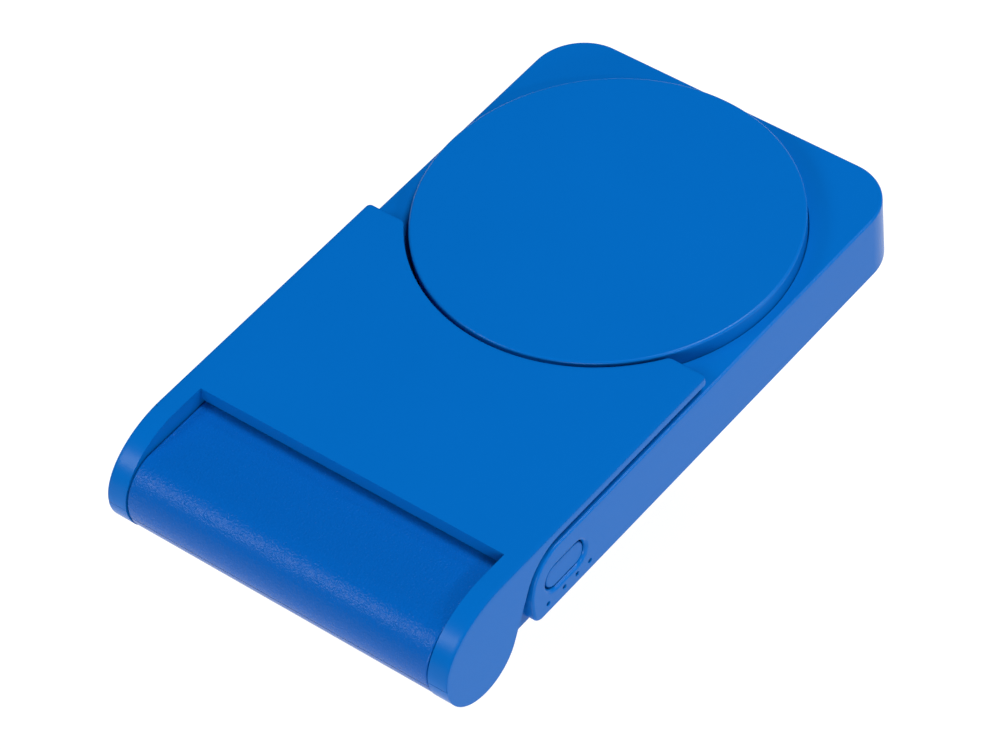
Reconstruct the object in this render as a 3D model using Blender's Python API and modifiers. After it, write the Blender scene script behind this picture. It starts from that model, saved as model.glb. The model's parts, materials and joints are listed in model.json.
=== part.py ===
"""Folding-stand magnetic wireless power bank, closed, as an assembly of separate solids.

X runs along the hinge, Y from the hinge to the far end, Z up. The origin is at the centre of the
footprint, at the height of the barrel's lowest line. All values are in metres.
"""
import math

import bmesh
import bpy
from mathutils import Matrix, Vector

MM = 0.001

# ---------------------------------------------------------------- driving dimensions
# Joining and cutting: how far cutters run past what they cut, and the step that keeps faces apart
PAST = 1.0 * MM
WIDE_X = 40.0 * MM
NEAR_PAST_Y = -62.0 * MM
UNDER_Z = -5.0 * MM
OVER_Z = 25.0 * MM
JOIN_STEP = 0.02 * MM
WELD = 0.001 * MM
SNUG = 0.1 * MM

# Hinge
HINGE_Y = -47.9 * MM
HINGE_Z = 8.0 * MM
EAR_RADIUS = 8.0 * MM
BARREL_RADIUS = 7.9 * MM
BARREL_HALF_WIDTH = 28.1 * MM
SHAFT_RADIUS = 2.0 * MM
SHAFT_START_X = 17.6 * MM
SHAFT_END_X = 30.7 * MM
KEY_HALF_WIDTH = 3.0 * MM
KEY_FLAT = 1.2 * MM
RUNNING_GAP = 0.15 * MM
BUSH_RADIUS = 3.4 * MM
BUSH_FLANGE_RADIUS = 4.6 * MM
BUSH_FLANGE_THICKNESS = 0.9 * MM
BRACKET_NEAR_X = 22.4 * MM
BRACKET_FAR_X = 24.2 * MM
BRACKET_EYE_RADIUS = 4.4 * MM
BRACKET_ARM_Y = -42.5 * MM
BRACKET_FAR_Y = -35.9 * MM
BRACKET_SCREW_X = 17.8 * MM
BRACKET_SCREW_Y = -38.5 * MM
BRACKET_SCREW_TIP_Z = 13.0 * MM
TAB_INNER_X = 15.2 * MM
TAB_NEAR_Y = -41.1 * MM
TAB_TOP_Z = 11.4 * MM
TAB_THICKNESS = 1.0 * MM
WASHER_RADIUS = 4.0 * MM
WASHER_RISE = 0.6 * MM
WASHER_THICKNESS = 0.4 * MM
NUT_RADIUS = 3.7 * MM
NUT_LENGTH = 2.2 * MM

# Case
BODY_HALF_WIDTH = 31.9 * MM
BODY_FAR_Y = 55.9 * MM
BODY_BOTTOM_Z = 3.1 * MM
BODY_TOP_Z = 14.75 * MM
BODY_CORNER_RADIUS = 8.6 * MM
BODY_EDGE_ROUND = 0.4 * MM
WALL = 1.5 * MM
TOP_SKIN = 1.4 * MM
BOTTOM_SKIN = 1.1 * MM
SEAM_GAP = 0.3 * MM
END_ARC_Y = -29.2 * MM
END_ARC_Z = 7.6 * MM
END_FOOT_RADIUS = 1.8 * MM
END_FOOT_STEPS = 4
CHEEK_HALF_WIDTH = 30.15 * MM
CHEEK_NEAR_Y = -38.1 * MM
NECK_ROOT_Y = -28.0 * MM
NECK_ROOM_FAR_Y = -25.0 * MM
BOSS_RADIUS = 2.2 * MM
BARREL_SEAM_Z = 6.4 * MM
BARREL_SEAM_Y = -41.0 * MM
BARREL_WALL = 1.3 * MM
BARREL_FLAT_Y = -49.3 * MM
BARREL_EDGE_ROUND = 0.3 * MM

# Charging disc
DISC_Y = 23.9 * MM
DISC_RADIUS = 30.0 * MM
DISC_TOP_Z = 17.6 * MM
DISC_SKIN = 1.2 * MM
DISC_WALL = 1.5 * MM
DISC_EDGE_ROUND = 0.45 * MM
DISC_REBATE = 0.6 * MM
DISC_OPENING_RADIUS = 27.5 * MM

# Stand flap
FLAP_HALF_WIDTH = 31.8 * MM
FLAP_TOP_Z = 17.5 * MM
FLAP_EDGE_Z = 16.2 * MM
FLAP_BASE_Z = 15.05 * MM
FLAP_FAR_Y = 6.1 * MM
FLAP_EDGE_ROUND = 0.6 * MM
EAR_INNER_X = 28.4 * MM
EAR_FRONT_LENGTH = 13.5 * MM
WINDOW_Y = -37.25 * MM
WINDOW_WALL = 1.3 * MM
CUTOUT_RADIUS = 30.7 * MM
HORN_ROUND = 1.25 * MM
FLAP_CORNER_ROUND = 1.1 * MM
FLAP_BACK_FAR_Y = -20.0 * MM
EAR_BACK_ARC_RADIUS = 8.7 * MM
LINER_INSET = 1.0 * MM
LINER_THICKNESS = 0.8 * MM
LINER_PLATE_Y = -28.6 * MM
NECK_PLATE_FAR_Y = -27.0 * MM
STIFFENER_THICKNESS = 0.55 * MM
STIFFENER_PLATE_Y = -27.6 * MM
STIFFENER_NECK_INSET = 1.6 * MM
POCKET_PLATE_Y = -28.0 * MM
POCKET_INSET = 1.9 * MM
POCKET_TOP_Z = 16.65 * MM

# Right-hand side: button and status lights
BUTTON_Y = -28.5 * MM
BUTTON_Z = 8.8 * MM
BUTTON_LENGTH = 9.2 * MM
BUTTON_HEIGHT = 4.7 * MM
BUTTON_FACE_DEPTH = 0.35 * MM
BUTTON_GAP = 0.2 * MM
BUTTON_BACK_X = 29.6 * MM
BUTTON_FLANGE = 0.5 * MM
SWITCH_START_X = 26.2 * MM
SWITCH_END_X = 28.9 * MM
SWITCH_TOP_Z = 10.3 * MM
SWITCH_HALF_LENGTH = 2.3 * MM
PLUNGER_START_X = 28.1 * MM
PLUNGER_HALF_LENGTH = 1.2 * MM
PLUNGER_HALF_HEIGHT = 0.7 * MM
LIGHT_YS = [-33.1 * MM, -29.3 * MM, -26.3 * MM, -23.3 * MM]
LIGHT_Z = 4.95 * MM
LIGHT_RADIUS = 0.33 * MM
LIGHT_DEPTH = 0.4 * MM
LED_START_X = 27.5 * MM
LED_END_X = 28.6 * MM
LED_HALF_LENGTH = 0.55 * MM
LED_HEIGHT = 0.9 * MM
GUIDE_START_X = 28.8 * MM
GUIDE_END_X = 30.1 * MM
GUIDE_LOW_Z = 4.85 * MM
GUIDE_HIGH_Z = 5.75 * MM

# Left-hand side: charging socket
SOCKET_Y = -26.0 * MM
SOCKET_Z = 8.85 * MM
SOCKET_WIDTH = 8.94 * MM
SOCKET_HEIGHT = 3.16 * MM
SOCKET_DEPTH = 7.4 * MM
SOCKET_SHEET = 0.3 * MM
SOCKET_CLEARANCE = 0.3 * MM
TONGUE_HALF_WIDTH = 3.3 * MM
TONGUE_HALF_THICKNESS = 0.35 * MM

# Main board and battery
BOARD_BOTTOM_Z = 6.1 * MM
BOARD_THICKNESS = 1.0 * MM
BOARD_NEAR_Y = -33.7 * MM
BOARD_FAR_Y = -18.0 * MM
BOARD_HALF_WIDTH = 29.2 * MM
BOARD_SCREW_X = 22.0 * MM
BOARD_SCREW_Y = -20.5 * MM
CELL_HALF_WIDTH = 27.0 * MM
CELL_NEAR_Y = -12.5 * MM
CELL_FAR_Y = 51.5 * MM
CELL_BOTTOM_Z = 5.75 * MM
CELL_TOP_Z = 12.15 * MM
FOAM_HALF_WIDTH = 20.0 * MM
FOAM_LENGTH = 18.0 * MM
FOAM_YS = {"near": -8.0 * MM, "far": 27.0 * MM}
SPREADER_FAR_Y = 51.0 * MM
SPREADER_THICKNESS = 0.25 * MM
CELL_BOARD_HALF_WIDTH = 14.0 * MM
CELL_BOARD_NEAR_Y = -16.9 * MM
CELL_BOARD_Z = 9.0 * MM
CELL_BOARD_THICKNESS = 0.8 * MM
TAB_X = 9.0 * MM
TAB_HALF_WIDTH = 2.0 * MM
BATTERY_LEAD_X = 6.2 * MM
BATTERY_LEAD_RADIUS = 0.55 * MM
SCREW_RADIUS = 0.95 * MM
SCREW_HEAD_RADIUS = 1.75 * MM
SCREW_HOLE_RADIUS = 1.2 * MM
SCREW_SLOT_LENGTH = 1.9 * MM
SCREW_SLOT_WIDTH = 0.45 * MM
CHIP_HEIGHT = 0.9 * MM
CHIP_Y = -28.5 * MM
CHIPS = {"controller_chip": (-2.0 * MM, 5.0 * MM), "charger_chip": (-17.0 * MM, 4.0 * MM)}
INDUCTOR_LOW = (6.0 * MM, -32.0 * MM)
INDUCTOR_HIGH = (13.0 * MM, -25.0 * MM)
INDUCTOR_HEIGHT = 3.0 * MM

# Charging module, stacked upwards inside the disc
MAGNET_INNER = 23.2 * MM
MAGNET_OUTER = 27.4 * MM
MAGNET_GAP_DEG = 20.0
MAGNET_PIECES = 17
MAGNET_THICKNESS = 0.8 * MM
MAGNET_GROOVE_WIDTH = 0.2 * MM
YOKE_THICKNESS = 0.25 * MM
FERRITE_RADIUS = 22.0 * MM
COIL_OUTER = 21.2 * MM
COIL_INNER = 10.4 * MM
COIL_TURNS = 9
COIL_STEPS_PER_TURN = 28
COIL_WIRE = 0.3 * MM
COIL_LEAD_RADIUS = 0.22 * MM
COIL_LEAD_X = 1.3 * MM
COIL_LEAD_UNDER_Z = 13.02 * MM
CARRIER_LOW = BODY_TOP_Z - DISC_REBATE + SEAM_GAP
CARRIER_HIGH = CARRIER_LOW + 0.55 * MM
FERRITE_LOW = CARRIER_HIGH + SNUG
FERRITE_HIGH = FERRITE_LOW + 0.4 * MM
MAGNET_LOW = FERRITE_LOW + YOKE_THICKNESS + SNUG
COIL_Z = FERRITE_HIGH + SNUG + COIL_WIRE

# Colours, linear
SHELL_BLUE = (0.005, 0.130, 0.530)
BLACK = (0.02, 0.02, 0.022)
FERRITE_GREY = (0.06, 0.06, 0.06)
WHITE = (0.85, 0.85, 0.82)
STEEL = (0.60, 0.60, 0.61)
ALUMINIUM = (0.75, 0.75, 0.76)
FOIL = (0.60, 0.61, 0.62)
NICKEL = (0.72, 0.70, 0.66)
COPPER = (0.72, 0.30, 0.12)
BOARD_GREEN = (0.01, 0.09, 0.05)
LEAD_RED = (0.55, 0.02, 0.02)
LED_YELLOW = (0.85, 0.82, 0.55)
CLEAR = (0.75, 0.80, 0.88)

PARTS_NAME = "folding_stand_power_bank"
SIDES = ((-1, "left"), (1, "right"))


# ---------------------------------------------------------------- scene and helpers
def clear_scene():
    for item in list(bpy.data.objects):
        bpy.data.objects.remove(item, do_unlink=True)


def new_collection(name):
    collection = bpy.data.collections.new(name)
    bpy.context.scene.collection.children.link(collection)
    return collection


clear_scene()
PARTS = new_collection(PARTS_NAME)
CUTTERS = new_collection("cutters")


def add_object(name, mesh):
    """Put a mesh in the scene as a guide; finish() turns it into a part."""
    item = bpy.data.objects.new(name, mesh)
    CUTTERS.objects.link(item)
    item.hide_render = True
    item.display_type = "WIRE"
    return item


def finish(item, colour, roughness, metallic=0.0, smooth_deg=35.0):
    """Move an object to the parts, with a material of its own."""
    CUTTERS.objects.unlink(item)
    PARTS.objects.link(item)
    item.hide_render = False
    item.display_type = "TEXTURED"
    material = bpy.data.materials.new(item.name)
    material.use_nodes = True
    shader = material.node_tree.nodes["Principled BSDF"]
    shader.inputs["Base Color"].default_value = (*colour, 1.0)
    shader.inputs["Roughness"].default_value = roughness
    shader.inputs["Metallic"].default_value = metallic
    item.data.materials.clear()
    item.data.materials.append(material)
    item.data.shade_smooth()
    item.data.set_sharp_from_angle(angle=math.radians(smooth_deg))
    return item


def from_bmesh(name, bm):
    bmesh.ops.recalc_face_normals(bm, faces=bm.faces)
    mesh = bpy.data.meshes.new(name)
    bm.to_mesh(mesh)
    bm.free()
    return add_object(name, mesh)


def box(name, low, high):
    low = Vector(low)
    high = Vector(high)
    bm = bmesh.new()
    place = Matrix.Translation((low + high) / 2) @ Matrix.Diagonal((*(high - low), 1.0))
    bmesh.ops.create_cube(bm, size=1.0, matrix=place)
    return from_bmesh(name, bm)


AXIS_TURN = {
    "X": Matrix.Rotation(math.radians(90), 4, "Y"),
    "Y": Matrix.Rotation(math.radians(-90), 4, "X"),
    "Z": Matrix.Identity(4),
}


def cylinder(name, centre, radius, length, axis="Z", segments=32, end_radius=None):
    """A round bar centred on a point; end_radius makes it taper along its axis."""
    bm = bmesh.new()
    far_radius = radius if end_radius is None else end_radius
    place = Matrix.Translation(centre) @ AXIS_TURN[axis]
    bmesh.ops.create_cone(bm, cap_ends=True, segments=segments, radius1=radius,
                          radius2=far_radius, depth=length, matrix=place)
    return from_bmesh(name, bm)


def arc(centre, radius, start_deg, end_deg, steps, radius_v=None):
    """Points along a circle, or an ellipse when radius_v is given."""
    height = radius if radius_v is None else radius_v
    points = []
    for step in range(steps + 1):
        angle = math.radians(start_deg + (end_deg - start_deg) * step / steps)
        points.append((centre[0] + radius * math.cos(angle), centre[1] + height * math.sin(angle)))
    return points


PLANES = {
    "XY": Matrix.Identity(4),
    "YZ": Matrix(((0, 0, 1, 0), (1, 0, 0, 0), (0, 1, 0, 0), (0, 0, 0, 1))),
}
PLANE_NORMAL = {"XY": Vector((0, 0, 1)), "YZ": Vector((1, 0, 0))}


def mesh_from_curve(name, curve, place):
    """Turn a curve object into a welded mesh object and remove the curve."""
    guide = bpy.data.objects.new(name + "_curve", curve)
    bpy.context.scene.collection.objects.link(guide)
    guide.matrix_world = place
    bpy.context.view_layer.update()
    graph = bpy.context.evaluated_depsgraph_get()
    mesh = bpy.data.meshes.new_from_object(guide.evaluated_get(graph))
    mesh.transform(guide.matrix_world)
    bm = bmesh.new()
    bm.from_mesh(mesh)
    bmesh.ops.remove_doubles(bm, verts=bm.verts, dist=WELD)
    bpy.data.objects.remove(guide, do_unlink=True)
    bpy.data.meshes.remove(mesh)
    return from_bmesh(name, bm)


def prism(name, outline, low, high, plane="XY"):
    """Extrude a flat outline between two heights along the plane's normal."""
    curve = bpy.data.curves.new(name, "CURVE")
    curve.dimensions = "2D"
    curve.fill_mode = "BOTH"
    curve.extrude = (high - low) / 2
    spline = curve.splines.new("POLY")
    spline.points.add(len(outline) - 1)
    for point, (u, v) in zip(spline.points, outline):
        point.co = (u, v, 0.0, 1.0)
    spline.use_cyclic_u = True
    place = Matrix.Translation(PLANE_NORMAL[plane] * (low + high) / 2) @ PLANES[plane]
    return mesh_from_curve(name, curve, place)


def wire(name, route, radius, resolution=1):
    """A round wire with flat ends along a list of points."""
    curve = bpy.data.curves.new(name, "CURVE")
    curve.dimensions = "3D"
    curve.bevel_depth = radius
    curve.bevel_resolution = resolution
    curve.use_fill_caps = True
    spline = curve.splines.new("POLY")
    spline.points.add(len(route) - 1)
    for point, position in zip(spline.points, route):
        point.co = (*position, 1.0)
    return mesh_from_curve(name, curve, Matrix.Identity(4))


def turned(name, profile, centre, axis="Z", steps=48, closed=True):
    """Turn a (radius, height) profile that runs down its outer side about an axis."""
    bm = bmesh.new()
    corners = [bm.verts.new((radius, 0.0, height)) for radius, height in profile]
    for first, second in zip(corners, corners[1:]):
        bm.edges.new((first, second))
    if closed:
        bm.edges.new((corners[-1], corners[0]))
    mesh = bpy.data.meshes.new(name)
    bm.to_mesh(mesh)
    bm.free()
    item = add_object(name, mesh)
    item.matrix_world = Matrix.Translation(centre) @ AXIS_TURN[axis]
    screw = item.modifiers.new("turn", "SCREW")
    screw.steps = steps
    screw.render_steps = steps
    screw.use_merge_vertices = True
    screw.merge_threshold = WELD
    return item


def boolean(item, other, operation):
    step = item.modifiers.new(operation.lower() + "_" + other.name, "BOOLEAN")
    step.operation = operation
    step.solver = "EXACT"
    step.object = other
    return item


def cut(item, *cutters):
    for cutter in cutters:
        boolean(item, cutter, "DIFFERENCE")
    return item


def join(item, *others):
    for other in others:
        boolean(item, other, "UNION")
    return item


def soften(item, width, segments=2, angle_deg=40.0):
    bevel = item.modifiers.new("soften", "BEVEL")
    bevel.width = width
    bevel.segments = segments
    bevel.limit_method = "ANGLE"
    bevel.angle_limit = math.radians(angle_deg)
    bevel.use_clamp_overlap = False
    return item


def rounded_rectangle(low, high, radius, steps=6):
    """A rectangle's outline with four round corners, anticlockwise."""
    corners = [
        ((high[0] - radius, high[1] - radius), 0),
        ((low[0] + radius, high[1] - radius), 90),
        ((low[0] + radius, low[1] + radius), 180),
        ((high[0] - radius, low[1] + radius), 270),
    ]
    points = []
    for centre, start in corners:
        points += arc(centre, radius, start, start + 90, steps)
    return points


# ---------------------------------------------------------------- shared outlines
def body_plan(inset, near_y):
    """The case seen from above: square at the near end, round at the two far corners."""
    side = BODY_HALF_WIDTH - inset
    far = BODY_FAR_Y - inset
    radius = BODY_CORNER_RADIUS - inset
    centre_x = side - radius
    centre_y = far - radius
    right = arc((centre_x, centre_y), radius, 0, 90, 9)
    left = arc((-centre_x, centre_y), radius, 90, 180, 9)
    return [(-side, near_y), (side, near_y)] + right + left


def end_arc(top_z, bottom_z, steps=12):
    """The case's near end from the side: round above, upright below, with a small round foot."""
    radius = top_z - END_ARC_Z
    foot_centre = (END_ARC_Y - radius + END_FOOT_RADIUS, bottom_z + END_FOOT_RADIUS)
    upper = arc((END_ARC_Y, END_ARC_Z), radius, 90, 180, steps)
    return upper + arc(foot_centre, END_FOOT_RADIUS, 180, 270, END_FOOT_STEPS)


def case_block(name, inset, top_z, bottom_z, low_z):
    """Where the case's plan and its side outline overlap; low_z carries the sides further down."""
    far_past = BODY_FAR_Y + 10 * PAST
    near_end = end_arc(top_z, bottom_z)
    foot = [(near_end[-1][0], low_z)] if low_z < bottom_z else []
    outline = [(far_past, top_z)] + near_end + foot + [(far_past, low_z)]
    side_view = prism(name + "_side_guide", outline, -WIDE_X, WIDE_X, "YZ")
    block = prism(name, body_plan(inset, HINGE_Y + 4 * PAST), 2 * UNDER_Z, OVER_Z)
    return boolean(block, side_view, "INTERSECT")


def barrel_profile(inset, neck_y, neck_bottom_z):
    """The barrel and its flat-topped neck seen along X.

    The upper front is a smaller arc that meets the flat top and the barrel's circle.
    """
    flat_z = BODY_TOP_Z
    lead = BARREL_FLAT_Y - HINGE_Y
    drop = flat_z - HINGE_Z
    blend = (BARREL_RADIUS ** 2 - lead ** 2 - drop ** 2) / (2 * (BARREL_RADIUS - drop))
    blend_centre = (BARREL_FLAT_Y, flat_z - blend)
    meet_deg = math.degrees(math.atan2(blend_centre[1] - HINGE_Z, lead))
    radius = BARREL_RADIUS - inset
    bottom = neck_bottom_z + inset
    leave_deg = 360.0 + math.degrees(math.asin((bottom - HINGE_Z) / radius))
    upper = arc(blend_centre, blend - inset, 90, meet_deg, 12)
    lower = arc((HINGE_Y, HINGE_Z), radius, meet_deg, leave_deg, 22)
    return [(neck_y, flat_z - inset)] + upper + lower[1:] + [(neck_y, bottom)]


def ear_outline(far_y, under_z):
    """The flap seen along X: round ear, elliptical front, flat top and hollow back."""
    centre = (HINGE_Y, HINGE_Z)
    back_centre = (END_ARC_Y, under_z - EAR_BACK_ARC_RADIUS)
    span_y = back_centre[0] - centre[0]
    span_z = back_centre[1] - centre[1]
    line_deg = math.degrees(math.atan2(span_z, span_y))
    reach = math.hypot(span_y, span_z)
    tangent_deg = math.degrees(math.acos((EAR_RADIUS + EAR_BACK_ARC_RADIUS) / reach))
    leave_deg = line_deg - tangent_deg
    front_centre = (HINGE_Y - EAR_RADIUS + EAR_FRONT_LENGTH, HINGE_Z)
    rise = FLAP_TOP_Z - HINGE_Z
    front = arc(front_centre, EAR_FRONT_LENGTH, 90, 180, 12, radius_v=rise)
    lower = arc(centre, EAR_RADIUS, 180, 360 + leave_deg, 24)
    back = arc(back_centre, EAR_BACK_ARC_RADIUS, 180 + leave_deg, 90, 8)
    return [(far_y, FLAP_TOP_Z)] + front + lower[1:] + back + [(far_y, under_z)]


def flap_plan(inset, near_y):
    """The flap's plate seen from above, with the arc cut-out round the charging disc."""
    side = FLAP_HALF_WIDTH - inset
    far = FLAP_FAR_Y - inset
    cutout = CUTOUT_RADIUS + inset
    corner = FLAP_CORNER_ROUND
    corner_right = arc((side - corner, far - corner), corner, 0, 90, 4)
    drop = DISC_Y - (far - HORN_ROUND)
    horn_x = math.sqrt((cutout + HORN_ROUND) ** 2 - drop ** 2)
    meet_deg = math.degrees(math.atan2(drop, horn_x))
    horn_right = arc((horn_x, far - HORN_ROUND), HORN_ROUND, 90, 180 - meet_deg, 4)
    sweep = arc((0.0, DISC_Y), cutout, 360 - meet_deg, 180 + meet_deg, 28)
    right = corner_right + horn_right
    left = [(-x, y) for x, y in reversed(right)]
    return [(-side, near_y), (side, near_y)] + right + sweep[1:-1] + left


def oval(centre, length, height, steps=8):
    """A slot outline: two half circles joined by straight sides."""
    half = (length - height) / 2
    right = arc((centre[0] + half, centre[1]), height / 2, -90, 90, steps)
    left = arc((centre[0] - half, centre[1]), height / 2, 90, 270, steps)
    return right + left


# ---------------------------------------------------------------- case
CHEEK_OUTLINE = [
    (CHEEK_NEAR_Y, BODY_BOTTOM_Z + JOIN_STEP),
    (END_ARC_Y, BODY_BOTTOM_Z + JOIN_STEP),
    (END_ARC_Y, BODY_TOP_Z - 0.3 * MM),
    (-32.4 * MM, 14.1 * MM),
    (-34.9 * MM, 12.4 * MM),
    (-36.9 * MM, 9.6 * MM),
    (CHEEK_NEAR_Y, 7.0 * MM),
]


def make_top_housing():
    """The case: slab, cheeks and the barrel's upper half, hollow and open below."""
    shell = case_block("top_housing", 0.0, BODY_TOP_Z, BODY_BOTTOM_Z, BODY_BOTTOM_Z)
    soften(shell, BODY_EDGE_ROUND)
    cheeks = prism("cheek_guide", CHEEK_OUTLINE, -CHEEK_HALF_WIDTH, CHEEK_HALF_WIDTH, "YZ")
    neck_end = [(NECK_ROOT_Y, BODY_TOP_Z - PAST), (END_ARC_Y - BODY_EDGE_ROUND, BODY_TOP_Z)]
    outline = barrel_profile(0.0, NECK_ROOT_Y, BODY_BOTTOM_Z + 2 * JOIN_STEP)
    barrel = prism("barrel_guide", neck_end + outline[1:], -BARREL_HALF_WIDTH, BARREL_HALF_WIDTH, "YZ")
    join(shell, cheeks, barrel)

    ceiling = BODY_TOP_Z - TOP_SKIN
    room = case_block("case_room_cutter", WALL, ceiling, BODY_BOTTOM_Z, UNDER_Z)
    half_room = BARREL_HALF_WIDTH - BARREL_WALL
    inside = barrel_profile(BARREL_WALL, NECK_ROOM_FAR_Y, BODY_BOTTOM_Z)
    upper_inside = [point for point in inside[:-1] if point[0] < HINGE_Y or point[1] > HINGE_Z]
    below = [(HINGE_Y + PAST, UNDER_Z), (NECK_ROOM_FAR_Y, UNDER_Z)]
    neck_room = prism("neck_room_cutter", upper_inside + below, -half_room, half_room, "YZ")
    half_seam = SEAM_GAP / 2
    lower_half = box("barrel_lower_cutter", (-WIDE_X, NEAR_PAST_Y, UNDER_Z),
                     (WIDE_X, BARREL_SEAM_Y + half_seam, BARREL_SEAM_Z + half_seam))
    cut(shell, room, neck_room, lower_half)

    rebate_z = BODY_TOP_Z - DISC_REBATE
    opening = cylinder("disc_opening_cutter", (0, DISC_Y, BODY_TOP_Z), DISC_OPENING_RADIUS, 8 * PAST,
                       segments=64)
    rebate = cylinder("disc_rebate_cutter", (0, DISC_Y, rebate_z + 2 * PAST),
                      DISC_RADIUS + RUNNING_GAP, 4 * PAST, segments=64)
    button_outline = oval((BUTTON_Y, BUTTON_Z), BUTTON_LENGTH, BUTTON_HEIGHT)
    wall_outside = BODY_HALF_WIDTH + 2 * PAST
    wall_inside = BODY_HALF_WIDTH - WALL - PAST
    button_hole = prism("button_hole_cutter", button_outline, wall_inside, wall_outside, "YZ")
    socket_outline = oval((SOCKET_Y, SOCKET_Z), SOCKET_WIDTH + 2 * SOCKET_CLEARANCE,
                          SOCKET_HEIGHT + 2 * SOCKET_CLEARANCE)
    socket_hole = prism("socket_hole_cutter", socket_outline, -wall_outside, -wall_inside, "YZ")
    bush_hole = cylinder("bush_hole_cutter", (0, HINGE_Y, HINGE_Z), BUSH_RADIUS + RUNNING_GAP,
                         2 * WIDE_X, "X", 24)
    cut(shell, opening, rebate, button_hole, socket_hole, bush_hole)
    for index, light_y in enumerate(LIGHT_YS):
        hole = cylinder(f"light_hole_cutter_{index + 1}", (BODY_HALF_WIDTH - WALL / 2, light_y, LIGHT_Z),
                        LIGHT_RADIUS + SNUG, 4 * PAST, "X", 12)
        cut(shell, hole)

    for side, label in SIDES:
        board_boss = post(f"board_boss_{label}", side * BOARD_SCREW_X, BOARD_SCREW_Y,
                          BOARD_BOTTOM_Z + BOARD_THICKNESS + 2 * SNUG)
        bracket_boss = post(f"bracket_boss_{label}", side * BRACKET_SCREW_X, BRACKET_SCREW_Y,
                            TAB_TOP_Z + 2 * SNUG)
        join(shell, board_boss, bracket_boss)
    finish(shell, SHELL_BLUE, 0.42)


def post(name, x, y, low):
    """A screw boss that hangs from the top skin, with a blind pilot hole."""
    top = BODY_TOP_Z - TOP_SKIN / 2
    boss = cylinder(name, (x, y, (low + top) / 2), BOSS_RADIUS, top - low, segments=16)
    hole_top = BODY_TOP_Z - TOP_SKIN - SNUG
    hole = cylinder(name + "_hole", (x, y, (low - PAST + hole_top) / 2), SCREW_RADIUS + RUNNING_GAP,
                    hole_top - low + PAST, segments=16)
    return cut(boss, hole)


def make_bottom_cover():
    """The flat cover, its tongue under the neck and the barrel's lower half."""
    inset = WALL + SEAM_GAP
    top = BODY_BOTTOM_Z + BOTTOM_SKIN
    near_y = end_arc(BODY_TOP_Z - inset, BODY_BOTTOM_Z)[-1][0]
    cover = prism("bottom_cover", body_plan(inset, near_y), BODY_BOTTOM_Z, top)
    half_room = BARREL_HALF_WIDTH - BARREL_WALL
    half_tongue = half_room - SEAM_GAP
    tongue = box("cover_tongue_guide", (-half_tongue, HINGE_Y + 3 * PAST, BODY_BOTTOM_Z + JOIN_STEP),
                 (half_tongue, near_y + PAST, top - JOIN_STEP))
    outline = barrel_profile(0.0, BARREL_SEAM_Y + 3 * PAST, BODY_BOTTOM_Z + 2 * JOIN_STEP)
    barrel = prism("lower_barrel_guide", outline, -BARREL_HALF_WIDTH, BARREL_HALF_WIDTH, "YZ")
    soften(barrel, BARREL_EDGE_ROUND)
    half_seam = SEAM_GAP / 2
    upper = box("barrel_upper_cutter", (-WIDE_X, NEAR_PAST_Y, BARREL_SEAM_Z - half_seam),
                (WIDE_X, END_ARC_Y, OVER_Z))
    behind = box("barrel_behind_cutter", (-WIDE_X, BARREL_SEAM_Y - half_seam, UNDER_Z),
                 (WIDE_X, END_ARC_Y - PAST, OVER_Z + PAST))
    cut(barrel, upper, behind)
    join(tongue, barrel)
    bore = cylinder("lower_bore_cutter", (0, HINGE_Y, HINGE_Z), BARREL_RADIUS - BARREL_WALL,
                    2 * half_room, "X", 40)
    cut(tongue, bore)
    join(cover, tongue)
    bush_hole = cylinder("lower_bush_cutter", (0, HINGE_Y, HINGE_Z), BUSH_RADIUS + RUNNING_GAP,
                         2 * WIDE_X, "X", 24)
    cut(cover, bush_hole)
    finish(cover, SHELL_BLUE, 0.45)


def make_disc_cap():
    """The raised round cap: a shallow cup, open below, with a softened rim."""
    seat = BODY_TOP_Z - DISC_REBATE + SEAM_GAP
    ceiling = DISC_TOP_Z - DISC_SKIN
    inner = DISC_RADIUS - DISC_WALL
    rim = arc((DISC_RADIUS - DISC_EDGE_ROUND, DISC_TOP_Z - DISC_EDGE_ROUND), DISC_EDGE_ROUND, 90, 0, 3)
    foot = [(DISC_RADIUS, seat), (inner, seat), (inner, ceiling), (0.0, ceiling)]
    profile = [(0.0, DISC_TOP_Z)] + rim + foot
    cap = turned("charging_disc_cap", profile, (0, DISC_Y, 0), steps=64, closed=False)
    finish(cap, SHELL_BLUE, 0.40)


# ---------------------------------------------------------------- charging module
def sector(name, inner, outer, low, high):
    """An open ring: its gap faces the hinge and lets the coil's leads out."""
    start = -90 + MAGNET_GAP_DEG / 2
    end = 270 - MAGNET_GAP_DEG / 2
    outline = arc((0, DISC_Y), outer, start, end, 34) + arc((0, DISC_Y), inner, end, start, 34)
    return prism(name, outline, low, high)


def make_magnets():
    """The steel yoke ring and the magnet ring on it, grooved where its pieces meet."""
    yoke = sector("magnet_yoke", MAGNET_INNER, MAGNET_OUTER, FERRITE_LOW, FERRITE_LOW + YOKE_THICKNESS)
    finish(yoke, STEEL, 0.35, 1.0)
    magnets = sector("magnet_ring", MAGNET_INNER, MAGNET_OUTER, MAGNET_LOW, MAGNET_LOW + MAGNET_THICKNESS)
    groove_z = MAGNET_LOW + 0.7 * MAGNET_THICKNESS
    for index in range(1, MAGNET_PIECES):
        angle = math.radians(-90 + MAGNET_GAP_DEG / 2 + index * (360 - MAGNET_GAP_DEG) / MAGNET_PIECES)
        groove = box(f"magnet_groove_cutter_{index}", (MAGNET_INNER - PAST, -MAGNET_GROOVE_WIDTH / 2, 0.0),
                     (MAGNET_OUTER + PAST, MAGNET_GROOVE_WIDTH / 2, 2 * PAST))
        groove.matrix_world = Matrix.Translation((0, DISC_Y, groove_z)) @ Matrix.Rotation(angle, 4, "Z")
        cut(magnets, groove)
    finish(magnets, STEEL, 0.25, 1.0)


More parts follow.
